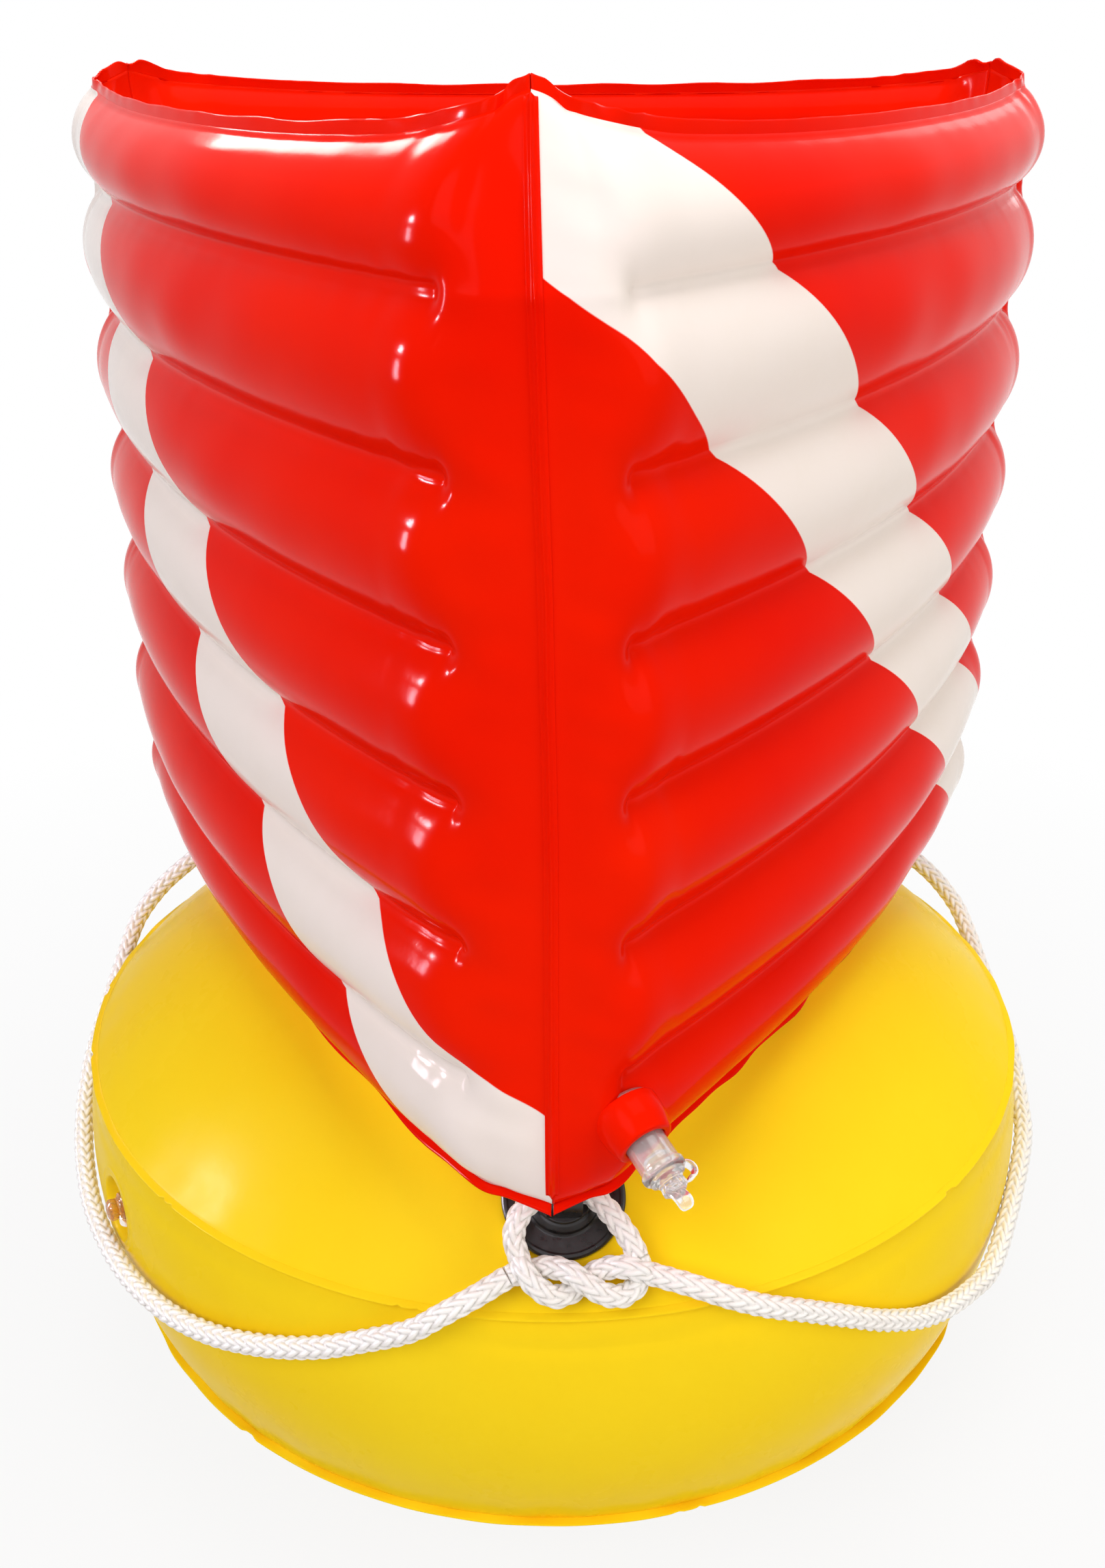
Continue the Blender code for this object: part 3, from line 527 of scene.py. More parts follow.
def holderFrame(azimuth):
    # Z off the dome's skin, X across, Y up the slope
    radius = drum["ringRadius"] - holder["inset"]
    slope = domeSlope(radius)
    angle = math.radians(azimuth + rope["turn"])
    radial = Vector((math.cos(angle), math.sin(angle), 0))
    outward = radial * math.sin(slope) + Vector((0, 0, math.cos(slope)))
    origin = radial * radius + Vector((0, 0, float(domeHeight(radius))))
    return frameAt(origin, outward, (-radial.y, radial.x, 0))


def onCylinder(points, middle=0, side=1):
    # r cos a, r sin a, z
    points = np.array(points, float)
    angle = np.radians(rope["turn"] + middle + side * points[:, 0])
    return np.stack([points[:, 1] * np.cos(angle), points[:, 1] * np.sin(angle), points[:, 2]], -1)


def smoothCurve(points, spans=16):
    # half of 2b + (c-a)t + (2a-5b+4c-d)t^2 + (3b-a-3c+d)t^3; the first and last runs stay straight
    a, b, c, d = (points[index:len(points) - 3 + index, None] for index in range(4))
    t = (np.arange(spans) / spans)[None, :, None]
    square, cube = 2 * a - 5 * b + 4 * c - d, 3 * b - a - 3 * c + d
    curve = 0.5 * (2 * b + (c - a) * t + square * t ** 2 + cube * t ** 3)
    return np.vstack([points[:1], curve.reshape(-1, 3), points[-2:]])


def lengthAlong(points):
    # the sum of the steps up to each point
    return np.r_[0, np.cumsum(np.linalg.norm(np.diff(points, axis=0), axis=1))]


def readAt(points, places):
    # the points at some lengths along a line
    length = lengthAlong(points)
    return np.stack([np.interp(places, length, points[:, axis]) for axis in range(3)], -1)


def between(curve, start, end):
    # the part of a curve between its points nearest to two others
    first, last = (np.argmin(np.linalg.norm(curve - spot, axis=1)) for spot in (start, end))
    return curve[first:last + 1]


def braidedPatches(path, along):
    # two families of strands wind round both ways, each over two and under two:
    # radius = rope - dive - round + the higher of dive * cos(phase) + round * sqrt(1 - across^2)
    tangent = unit(np.gradient(path, axis=0))
    outward = unit(path - np.array(drum["heart"]))
    side = unit(np.cross(tangent, outward))
    up = np.cross(side, tangent)
    turn = np.linspace(0, 1, rope["around"] + 1)[None, :]
    steps = along[:, None] / rope["pitch"]
    first, second = rope["plaits"] * turn + steps, rope["plaits"] * turn - steps
    i, j = np.floor(first), np.floor(second)

    def strandHeight(sign, phase, across):
        # dive * cos of the phase, over two and under two, plus a strand's round back
        crown = np.sqrt(1 - (rope["strandWidth"] * (across - 0.5)) ** 2)
        return sign * rope["dive"] * np.cos(math.pi / 2 * (phase % 4 - 1)) + rope["round"] * crown

    heightFirst = strandHeight(1, second + i, first - i)
    heightSecond = strandHeight(-1, first + j, second - j)
    radius = rope["radius"] - rope["dive"] - rope["round"] + np.maximum(heightFirst, heightSecond)
    angle = turn * math.tau
    ways = np.cos(angle)[..., None] * side[:, None] + np.sin(angle)[..., None] * up[:, None]
    grid = path[:, None] + ways * radius[..., None]
    # each strand has a column of the map to itself
    across = np.where(
        heightFirst > heightSecond, i % rope["plaits"] + first - i, 20 + j % rope["plaits"] + second - j)
    skin = mapOf(across, along[:, None])
    return [{"points": grid, "map": skin, "flip": True}] + endCaps(grid, path, skin)


def cordPiece(name, node, path, alongStart):
    # a free stretch of the rope, and its length as measured on its own line
    along = lengthAlong(path)
    piece = addPiece(name, braidedPatches(path, alongStart + along), braidedRope, [node])
    return float(along[-1])


def makeRope():
    # one line from the back left eye, round the left, through the knot and the bight and on to the back
    # right eye: smooth curves read at even steps, with the braid carried on by the length along them
    front = holderFrame(corners["front"])
    drapes, gap = rope["drapes"], rope["gap"] / 2
    left = np.vstack([onCylinder(leftFront), onCylinder(rise, drapes["left"], -1)])
    right = np.vstack([onCylinder(rightFront), onCylinder(rise[1:], drapes["right"], 1)])
    back = np.vstack([onCylinder(rise[::-1], drapes["back"], 1), onCylinder(rise, drapes["back"], -1)])
    eyeLine, toRight, toLeft = (placed(np.array(line), front) for line in (bight, knotRight, knotLeft))
    # the knot's strands are read from a curve that also runs on into what they join
    toLeftCurve = smoothCurve(np.vstack([eyeLine[-3:], toLeft, left[:3]]))
    toRightCurve = smoothCurve(np.vstack([eyeLine[2::-1], toRight, right[:3]]))
    # in the order of the rope: left drape, knot, bight from right to left, knot, right drape
    runs = [
        smoothCurve(left)[::-1], between(toLeftCurve, eyeLine[-1], left[0])[::-1], smoothCurve(eyeLine)[::-1],
        between(toRightCurve, eyeLine[0], right[0]), smoothCurve(right)]
    paths, starts, along = [], [], 0
    for index, run in enumerate(runs):
        total = lengthAlong(run)[-1]
        head = gap if index == 0 else 0
        tail = gap if index == len(runs) - 1 else 0
        paths.append(readAt(run, np.linspace(head, total - tail, max(2, int(total / rope["step"])))))
        starts.append(along + head)
        along += total
    knotLengths = [lengthAlong(paths[index]) for index in (1, 3)]
    strands = [braidedPatches(paths[i], starts[i] + length) for i, length in zip((1, 3), knotLengths)]
    addPiece("knot", strands[0] + strands[1], braidedRope, ["rope_knot"])
    lengths = {"knot": sum(float(length[-1]) for length in knotLengths)}
    lengths["left"] = cordPiece("ropeLeft", "rope_left", paths[0], starts[0])
    lengths["bight"] = cordPiece("ropeBight", "rope_bight", paths[2], starts[2])
    lengths["right"] = cordPiece("ropeRight", "rope_right", paths[4], starts[4])
    backCurve = smoothCurve(back)
    total = lengthAlong(backCurve)[-1]
    places = np.linspace(gap, total - gap, int(total / rope["step"]))
    lengths["back"] = cordPiece("ropeBack", "rope_back", readAt(backCurve, places), along)
    print("rope made", {name: round(value, 4) for name, value in lengths.items()})


holder = {
    "inset": 0.0275,
    # radius and height down the side of the welded base and its boss
    "base": [
        (0, 0.0052), (0.0095, 0.0052), (0.0099, 0.0044), (0.0107, 0.0042), (0.0115, 0.0036), (0.0123, 0.0030),
        (0.0127, 0.0018), (0.0136, 0.0013), (0.0188, 0.0013), (0.0192, 0.0015), (0.0204, 0.0014),
        (0.0210, 0.0007), (0.0210, -0.0003), (0, -0.0006)],
    "baseRound": 0.00028,
    "foot": 0.0052,             # the boss's top, where the lug stands
    "footSink": 0.0004,
    "eyeRise": 0.0077,          # from there to the middle of the eye
    "eyeRadius": 0.0052,
    "lugHalf": 0.008,
    "lugThick": 0.012,
    "squareness": 0.28,
}

makeRope()


# Flag: three faces of welded tubes

flag = {
    "weldDrop": 0.0046,
    "pitch": 0.0457,
    "tubes": 7,
    "faceRadius": 0.135,
    "cornerRadius": 0.197,
    "weldHalf": 0.155,
    "bow": 0.018,
    "swell": 0.009,
    "cornerSwell": 0.005,
    "innerCornerSwell": 0.019,
    "puff": 0.001,
    "channelEnd": 0.026,
    "innerChannelEnd": 0.075,
    "seat": 0.0005,
    "weldWidth": 0.0026,
    "weldEnd": 0.80,
    "cornerRun": 0.121,         # metres for a whole share between a weld's end and the corner
    "endSteep": 1.5,            # how much faster the film rises past a weld's end than beside it
    "cornerPrint": 0.012,       # how much further the film runs there than straight across
    "roundRun": 0.09,
    # how far the front corner stands aside at some heights
    "wander": [(0.20, 0.0046), (0.25, 0.0046), (0.33, 0.0046), (0.40, 0.0034), (0.47, 0.0014), (0.52, -0.0002)],
    "peak": 0.0038,             # how much higher the rim stands at the front corner
    "sag": 0.010,
    "topDrop": 0.005,
    "cornerDrop": 0.005,
    "footTuck": 0.011,
    "topTuck": {"front": 0.014, "back_right": 0.001, "back_left": 0.001},
    "middleTuck": 0.007,
    "pucker": 0.00022,
    "puckerFrom": 0.0012,       # the puckers' nearest and farthest from a weld
    "puckerReach": 0.006,
    "roll": 0.00035,
    "clear": 0.00008,
    "sheet": 0.0008,            # the lips' thickness
    "flangeWidth": 0.003,
    "flangeThick": 0.0009,
    "flangeClear": 0.0004,
    "gap": 0.0003,
    "valveAxis": (0.514622, -0.770316, -0.376534),
    "valveBehind": 0.007,       # how far behind the flap the inner film stands back
    "valveRoom": 0.005,         # by how much, and how far round
    "valveReach": 0.010,
}


def flagFoot():
    # the dome's height where the faces stand, plus the flange and its two gaps
    foot = flag["faceRadius"] - flag["footTuck"]
    return float(domeHeight(foot)) + 2 * flag["gap"] + flag["flangeThick"] / math.cos(domeSlope(foot))


def edgeHeights(share):
    # the lower edge drops by the cube of the share; the upper one sags between its corners
    bend = np.abs(share) ** 3
    low = flagFoot() - flag["cornerDrop"] * bend
    top = flagFoot() - flag["weldDrop"] + flag["pitch"] * flag["tubes"]
    return low, top - flag["topDrop"] - flag["sag"] * (1 - bend)


def riseHeight(share, tubesUp):
    # even welds, but the first and last tube end at the edges
    low, high = edgeHeights(share)
    base = flagFoot() - flag["weldDrop"]
    first, last = base + flag["pitch"], base + flag["pitch"] * (flag["tubes"] - 1)
    middle = base + flag["pitch"] * tubesUp
    under = low + (first - low) * tubesUp
    over = last + (high - last) * (tubesUp - flag["tubes"] + 1)
    return np.where(tubesUp < 1, under, np.where(tubesUp > flag["tubes"] - 1, over, middle))


def cornersOf(face):
    # a face's two corners stand 60 degrees each way from its middle, the one at its negative shares first
    turned = {azimuth % 360: name for name, azimuth in corners.items()}
    return [turned[(faces[face] + side) % 360] for side in (-60, 60)]


def tucksOf(face):
    # how far the rim draws in at those two corners
    return [flag["topTuck"][corner] for corner in cornersOf(face)]


def sideOf(share):
    # -1 or 1
    return np.where(share < 0, -1.0, 1.0)


def wallLine(share, tubesUp, tucks):
    # outward = 135 - 18 run^2 and along = 155 run in mm, eased into a straight run to the corner,
    # then drawn in at the foot and the rim
    reach = np.abs(share)
    run = reach / flag["weldEnd"]
    past = (reach - flag["weldEnd"]) / (1 - flag["weldEnd"])
    endSlope = 2 * flag["bow"] / flag["weldHalf"]
    bowed = np.stack([flag["faceRadius"] - flag["bow"] * run ** 2, flag["weldHalf"] * run], -1)
    end = np.array([flag["faceRadius"] - flag["bow"], flag["weldHalf"]])
    straight = end + (flag["cornerRadius"] * cornerWay - end) * past[..., None]
    blend = ease((reach - flag["weldEnd"] + flag["roundRun"]) / (2 * flag["roundRun"]))[..., None]
    place = bowed * (1 - blend) + straight * blend
    bowedWay = unit(np.stack([np.ones_like(run), endSlope * np.minimum(run, 1)], -1))
    outward = unit(bowedWay + (cornerWay - bowedWay) * ease(past)[..., None])
    footTuck = flag["footTuck"] * (1 - reach ** 3) * np.maximum(0, 1 - tubesUp)
    middle = flag["middleTuck"]
    topTuck = middle + (np.where(share < 0, *tucks) - middle) * np.minimum(1, run) ** 2
    topTuck = topTuck * np.maximum(0, tubesUp - flag["tubes"] + 1)
    place = place - outward * (footTuck + topTuck)[..., None]
    mirror = np.stack([np.ones_like(share), sideOf(share)], -1)
    return place * mirror, outward * mirror


def stepBack(share, distance):
    # a face's two ends step back from the plane between it and the next face
    away = np.stack([np.full_like(share, cornerWay[1]), -cornerWay[0] * sideOf(share)], -1)
    return away * distance * (np.abs(share) >= 1)[..., None]


def arcForm(x):
    # cos t - cos half over 1 - cos half, 0 at a weld and 1 at a tube's crest, and x spaced along that arc
    flat = flag["weldWidth"] / flag["pitch"] / 2
    half = 2 * math.atan(2 * flag["swell"] / (flag["pitch"] * (1 - 2 * flat)))
    turn = half * (2 * np.clip((x - flat) / (1 - 2 * flat), 0, 1) - 1)
    even = flat + (1 - 2 * flat) * (np.sin(turn) / math.sin(half) + 1) / 2
    even = np.where((x < flat) | (x > 1 - flat), x, even)
    return (np.cos(turn) - math.cos(half)) / (1 - math.cos(half)), even


def faceSkin(share, tubesUp, side, seed, tucks):
    # the wall plus its outward way times seat + swell * form, where form follows the distance to the
    # nearest weld: across the weld beside it, and round its end past it
    share, tubesUp = np.broadcast_arrays(share, tubesUp)
    reach = np.abs(share)
    last = flag["tubes"] - 1
    tube = np.floor(np.minimum(tubesUp, flag["tubes"] - 1e-6))
    x = tubesUp - tube
    past = np.clip((reach - flag["weldEnd"]) / (1 - flag["weldEnd"]), 0, 1)
    opened = ease((reach - flag["weldEnd"] + 0.03) / 0.17)
    toWeld = np.where(tube == 0, 1 - x, np.where(tube == last, x, np.minimum(x, 1 - x)))
    beyond = np.maximum(0, reach - flag["weldEnd"]) * flag["cornerRun"] * flag["endSteep"] / flag["pitch"]
    beside, _ = arcForm(np.minimum(0.5, np.sqrt(toWeld ** 2 + beyond ** 2)))
    arc, even = arcForm(x)
    low, high = edgeHeights(share)
    height = riseHeight(share, tube + x + (even - x) * (1 - opened))
    closing = flag["channelEnd"] if side > 0 else flag["innerChannelEnd"]
    depth = np.clip(np.minimum((height - low) / flag["channelEnd"], (high - height) / closing), 0, 1)
    channel = np.sqrt(1 - (1 - depth) ** 2) if side > 0 else ease(depth)
    atEdge = ((tube == 0) & (x < 0.5)) | ((tube == last) & (x > 0.5))
    form = beside * np.where(atEdge, arc + (channel - arc) * opened, 1)
    endSwell = flag["cornerSwell"] if side > 0 else flag["innerCornerSwell"]
    swell = flag["swell"] + (endSwell - flag["swell"]) * ease(past)
    if side > 0:
        swell = swell + flag["puff"] * np.sin(math.pi * past) ** 2
    place, outward = wallLine(share, tube + even, tucks)
    along = place[..., 1]
    # the film puckers beside the welds, and rolls a little everywhere
    nearest = np.round(tubesUp)
    fromWeld = np.abs(tubesUp - nearest) * flag["pitch"]
    nearWeld = fade(fromWeld, flag["puckerReach"]) * (1 - fade(fromWeld, flag["puckerFrom"])) * (1 - opened)
    towardsEnd = 0.35 + 1.3 * bell(reach, flag["weldEnd"] - 0.03, 0.12)
    pucker = sum(
        waves(along + 0.31 * weld, 0.008, 0.026, seed + weld) * (nearest == weld)
        for weld in range(flag["tubes"] + 1))
    rolling = waves(along + 0.4 * height, 0.05, 0.13, seed + 20)
    rolling = rolling * waves(height - 0.3 * along, 0.04, 0.11, seed + 21) * ease((1 - past) / 0.3)
    crumple = waves(along * 0.6 + height, 0.011, 0.03, seed + 30) * np.sin(math.pi * past) ** 2 * 0.6
    offset = flag["seat"] + swell * form + flag["roll"] * (rolling + crumple) * form
    offset = offset + flag["pucker"] * pucker * nearWeld * towardsEnd
    spot = place + outward * (side * offset)[..., None] + stepBack(share, flag["clear"])
    points = np.concatenate([spot, height[..., None]], -1)
    # the print runs on round the corner by the film's own length there
    across = along + np.sign(share) * flag["cornerPrint"] * past
    return points, mapOf(across, riseHeight(share, tubesUp) - filmLook["flagFoot"])


def drawCorner(points):
    # the front corner wanders sideways by its height and peaks at the rim, less and less up to 13 degrees away:
    # x + wander(z) * ease(1 - angle / 13) and z + peak * ease(1 - angle / 13) * ease((z - 0.475) / 0.045)
    angle = np.degrees(np.arctan2(points[..., 0], -points[..., 1]))
    far = np.hypot(points[..., 0], points[..., 1])
    near = ease(1 - np.abs(angle) / 13) * ease((far - 0.10) / 0.07)
    wander = np.interp(points[..., 2], *zip(*flag["wander"]))
    lift = flag["peak"] * ease((points[..., 2] - 0.475) / 0.045)
    return points + np.stack([wander * near, np.zeros_like(near), lift * near], -1)


def flapMiddle():
    # half of low + high, from the flag valve's flap in the frame
    low, high = (np.array(corner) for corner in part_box("flag_valve_flap"))
    return (low + high) / 2


def standBack(points):
    # room for the pushed-in valve: points - axis * room * e^-(distance / reach)^2
    axis = np.array(flag["valveAxis"])
    middle = flapMiddle() - flag["valveBehind"] * axis
    near = bell(np.linalg.norm(points - middle, axis=-1), 0, flag["valveReach"])
    return points - axis * (flag["valveRoom"] * near)[..., None]


def faceShares():
    # close together where the welds end
    spans = ((0, 0.70, 38), (0.70, 0.90, 44), (0.90, 1, 12))
    half = np.concatenate([np.linspace(*span)[:-1] for span in spans] + [[1]])
    return np.concatenate([-half[:0:-1], half])[None, :]


def faceRises():
    # each tube from weld to weld, with a row on each side of the flat weld
    flat = flag["weldWidth"] / flag["pitch"] / 2
    inTube = np.concatenate([[0], flat + (1 - 2 * flat) * np.linspace(0, 1, 21)])
    return np.concatenate([[tube + inTube] for tube in range(flag["tubes"])] + [[[flag["tubes"]]]], axis=1).T


def unprinted(height):
    # a map far outside the printed band
    return mapOf(np.full(height.shape, 10.0), height)


def makeFaces():
    # an outer and an inner skin for each face, turned to it, with strips round their edges
    share, tubesUp = faceShares(), faceRises()
    for number, (name, azimuth) in enumerate(faces.items()):
        tucks = tucksOf(name)
        outer, printed = faceSkin(share, tubesUp, 1, 100 * number, tucks)
        inner, _ = faceSkin(share, tubesUp, -1, 100 * number + 50, tucks)
        outer, inner = (drawCorner(turnAboutZ(skin, azimuth)) for skin in (outer, inner))
        if name == "front_right":
            inner = standBack(inner)
        addPiece(
            "flagFace_" + name, slabPatches(outer, inner, printed, unprinted(printed[..., 1])), redPrinted,
            ["flag_outer_panel_" + name, "flag_inner_panel_" + name])


def addSheet(name, grid, share, clear, azimuth, node):
    # a sheet turned to its face, with its ends stepped back and a thickness
    grid[..., :2] += stepBack(share, clear)
    patch = {"points": drawCorner(turnAboutZ(grid, azimuth)), "map": unprinted(grid[..., 2])}
    addPiece(name, [patch], redFilm, [node], thickness=flag["sheet"])


rim = {
    "lip": 0.0034,
    "corner": 0.0026,           # how much higher the lip stands beside a back corner
    "cornerReach": 0.16,        # in shares
    "round": 0.0036,            # how much lower it is again at the back corners themselves
    "roundReach": 0.035,
    "lean": 0.0008,
    "pleat": 0.0010,
    "pleatDrop": 0.0006,
    "sink": 0.0006,             # its foot is this far below the faces' upper edges
}


def makeRims():
    # two films welded in a lip along the rim, pleated near the corners:
    # outward by pleat * up^1.3 - lean * up^1.2, and as high as lip + corner - round * e^-(reach)^2
    share = faceShares()
    reach = np.abs(share)
    up = np.linspace(0, 1, 7)[:, None]
    for number, (name, azimuth) in enumerate(faces.items()):
        place, outward = wallLine(share, np.full_like(share, flag["tubes"]), tucksOf(name))
        along = place[..., 1]
        pleat = waves(along, 0.010, 0.024, 300 + number) * (0.12 + 0.9 * bell(reach, 1, 0.24))
        pleat = pleat * (1 - np.clip((reach - 0.985) / 0.015, 0, 1))
        place = place + outward * (rim["pleat"] * pleat[0] * up ** 1.3 - rim["lean"] * up ** 1.2)[..., None]
        crest = rim["lip"] * (1 + 0.06 * waves(along, 0.03, 0.08, 320 + number))
        behind = np.where(share < 0, *[corner != "front" for corner in cornersOf(name)])
        crest = crest + behind * rim["corner"] * bell(reach, 1, rim["cornerReach"])
        crest = crest - rim["pleatDrop"] * np.abs(pleat)
        crest = crest - behind * rim["round"] * bell(reach, 1, rim["roundReach"])
        upward = 0.7 * up + 0.3 * np.sin(math.pi / 2 * up)
        height = edgeHeights(share)[1] - rim["sink"] + (crest + rim["sink"]) * upward
        grid = np.concatenate([np.broadcast_to(place, (7, share.shape[1], 2)), height[..., None]], -1)
        addSheet("flagRim_" + name, grid, share, flag["clear"], azimuth, "flag_rim_lip_" + name)


def makeFlanges():
    # the lower weld's lip, lying on the dome: outward by its width, down by the dome's slope
    share = faceShares()
    out = np.linspace(1, 0, 5)[:, None]
    slope = math.tan(domeSlope(flag["faceRadius"] - flag["footTuck"]))
    for number, (name, azimuth) in enumerate(faces.items()):
        place, outward = wallLine(share, np.zeros_like(share), tucksOf(name))
        width = flag["flangeWidth"] * (1 + 0.16 * waves(place[..., 1], 0.02, 0.07, 340 + number))
        offset = width * out
        meet = (flag["gap"] + 0.0001) * (1 - out) ** 2      # its inner edge rises to the wall
        height = edgeHeights(share)[0] - flag["gap"] - flag["flangeThick"] / 2 - offset * slope + meet
        grid = np.concatenate([place + outward * offset[..., None], height[..., None]], -1)
        addSheet("flagFlange_" + name, grid, share, flag["flangeClear"], azimuth, "flag_bottom_flange_" + name)


seam = {
    "half": 0.0021,
    "thick": 0.0010,
    "lift": 0.00035,
    "bead": 0.0009,
    "beadHalf": 0.00055,
    "ends": (0.12, 6.97),
    "joinAt": {"front": 6.0, "back_right": 3.2, "back_left": 4.9},      # in tubes up: where the weld was joined
    "join": 0.0007,
    "joinHalf": 0.05,
    "ridges": 0.00012,
    "edgeSink": 0.0004,
}


def makeCornerSeams():
    # over each ridge a flat weld with a bead, and a bump where it was joined:
    # lift + (bead + join * e^-((tubes up - joinAt) / joinHalf)^2) * e^-(x / beadHalf)^2
    tubesUp = np.linspace(*seam["ends"], 260)[:, None]
    across = np.linspace(-1, 1, 25)[None, :]
    share = 1 - np.abs(across) * seam["half"] / flag["cornerRun"]
    middle = across.shape[1] // 2
    x = across * seam["half"]
    for number, (name, azimuth) in enumerate(corners.items()):
        right, _ = faceSkin(share, tubesUp, 1, 0, [flag["topTuck"][name]] * 2)
        # in the corner's own frame: out along the corner's way, and across it
        out = right[..., :2] @ cornerWay
        aside = np.abs(right[..., :2] @ np.array([-cornerWay[1], cornerWay[0]])) * np.sign(across)
        bead = bell(x, seam["ridges"] * waves(tubesUp, 0.5, 2.2, 360 + number), seam["beadHalf"])
        join = bell(tubesUp, seam["joinAt"][name], seam["joinHalf"])
        lift = seam["lift"] + (seam["bead"] + seam["join"] * join) * bead
        lift = lift + seam["ridges"] * np.cos(math.tau * across) * (np.abs(across) > 0.4)
        lift = np.where(np.abs(across) >= 1, -seam["edgeSink"], lift)
        slopeUp = np.gradient(out[:, middle], right[:, middle, 2])[:, None]
        norm = np.sqrt(1 + slopeUp ** 2)
        grid = np.stack([out + lift / norm, -aside, right[..., 2] - lift * slopeUp / norm], -1)
        under = grid - np.array([seam["thick"], 0, 0])
        plain = unprinted(grid[..., 2])
        grid, under = (drawCorner(turnAboutZ(skin, azimuth)) for skin in (grid, under))
        addPiece(
            "flagSeam_" + name, slabPatches(grid, under, plain, plain, flip=True), redFilm,
            ["flag_corner_seam_" + name])


makeFaces()
makeRims()
makeFlanges()
makeCornerSeams()
print("flag made")


# Drum

valve = {
    # radius and height down the sides of the turned parts; heights count from the top of the stem's flange,
    # and the collar's from the film
    "stem": [
        (0.00685, 0.0245), (0.0072, 0.0238), (0.0072, 0.0223), (0.0065, 0.0216), (0.0065, 0), (0.0092, 0),
        (0.0092, -0.0012), (0.0044, -0.0012), (0.0044, 0.0245)],
    "flap": [(0, -0.0015), (0.0052, -0.0015), (0.0052, -0.0020), (0, -0.0020)],
    "plug": [
        (0, 0.0304), (0.00315, 0.0310), (0.0042, 0.02995), (0.0038, 0.02747), (0.0044, 0.026525),
        (0.0058, 0.0260), (0.0058, 0.0248), (0.00405, 0.0248), (0.00405, 0.01885), (0.0030, 0.0178),
        (0, 0.0178)],
    "collar": [
        (0.0068, 0.0077), (0.0072, 0.0080), (0.0088, 0.0080), (0.0094, 0.0072), (0.0106, 0.0030),
        (0.0110, -0.0010), (0.0110, -0.0050), (0.0068, -0.0050)],
    "edge": 0.0004,             # how far the moulded edges are rounded
    "flapEdge": 0.0002,
    "collarEdge": 0.0008,
    "ribs": (9, 0.00022, 0.0266, 0.0306),           # count, depth, from and to
    "tab": (0.006, 0.0014, 0.009, 0.0325),          # wide, thin, tall, and its middle's height
    "strap": (0.0012, 0.0036, 0.0027),              # thick, wide, and the bend's radius
    "strapMiddle": (0.0076, 0.0254),
    "strapTurn": (-90, 110),
    "flapDepth": 0.00705,       # from the collar's seat in to the flap's middle, and to the stem's flange
    "stemDepth": 0.0053,
    "cupRadius": 0.0135,
    "cupSlope": 0.0052,
    "cupDepth": 0.0105,
    "cupReach": 0.02,           # skin farther along the axis than this stays as it is
    "patch": (0.00035, 0.0165, 0.0007),             # the weld round the cup: lift, radius and half width
    "step": 0.0003,
    "floatAzimuth": -147.6,
    "floatDrop": 0.033,
    "floatSink": 0.028,
}


def wallRadius(height):
    # straight from ring to ring, plus bulge * 4s(1-s)
    share = (drum["ringHeight"] - height) / (drum["ringHeight"] - drum["lowHeight"])
    chord = drum["ringRadius"] + (drum["lowRadius"] - drum["ringRadius"]) * share
    return chord + drum["wallBulge"] * 4 * share * (1 - share)


def floatValveFrame():
    # on the wall, with Z along the wall's own outward way
    height = drum["ringHeight"] - valve["floatDrop"]
    step = valve["step"]
    slope = (wallRadius(height + step) - wallRadius(height - step)) / (2 * step)
    angle = math.radians(valve["floatAzimuth"])
    radial = Vector((math.cos(angle), math.sin(angle), 0))
    origin = radial * wallRadius(height) + Vector((0, 0, height))
    return frameAt(origin, radial - Vector((0, 0, slope)), radial.cross(Vector((0, 0, -1))))


drumFilm = {
    "ripple": (0.00030, 0.010),         # beside the upper weld: depth and reach
    "lowRipple": (0.00055, 0.014),      # beside the lower one
    "rippleFrom": 0.002,
    "rippleCounts": (31, 37, 44, 53, 61),
    "swell": 0.0004,
    "swellCounts": (3, 5, 7, 11),
    "crease": (0.011, 0.002, 0.0030),   # its distance from the weld, how far it wanders and its half width
    "creaseDepths": (0.00018, 0.00050),     # on the dome and on the wall
    "fineAngle": 0.10,                  # radians each way from the valve with closer columns
    "fineHeight": 0.019,
}


def drumProfile():
    # radius and height from the dome's top to the middle of the underside, and the rows of the two welds
    slope = domeSlope(drum["ringRadius"])
    turn = np.concatenate([np.linspace(0, slope - 0.12, 40), np.linspace(slope - 0.12, slope, 22)[1:]])
    dome = np.stack([drum["domeRadius"] * np.sin(turn), domeHeight(drum["domeRadius"] * np.sin(turn))], -1)
    high, low = drum["ringHeight"], drum["lowHeight"]
    valveHeight = high - valve["floatDrop"]
    heights = np.unique(np.round(np.concatenate([
        np.linspace(high, low, 60),
        np.linspace(valveHeight - drumFilm["fineHeight"], valveHeight + drumFilm["fineHeight"], 52),
        high - np.linspace(0, 0.014, 10), low + np.linspace(0, 0.014, 10)]), 6))[::-1]
    wall = np.stack([wallRadius(heights), heights], -1)[1:]
    reach = drum["lowRadius"] - drum["restRadius"]
    curve = (reach ** 2 + low ** 2) / (2 * low)
    bend = math.asin(reach / curve) * (1 - np.linspace(0, 1, 30))[1:]
    bottom = np.stack([drum["restRadius"] + curve * np.sin(bend), curve - curve * np.cos(bend)], -1)
    profile = np.vstack([dome, wall, bottom, [[drum["restRadius"] / 2, 0], [0, 0]]])
    return profile, len(dome) - 1, len(dome) + len(wall) - 1


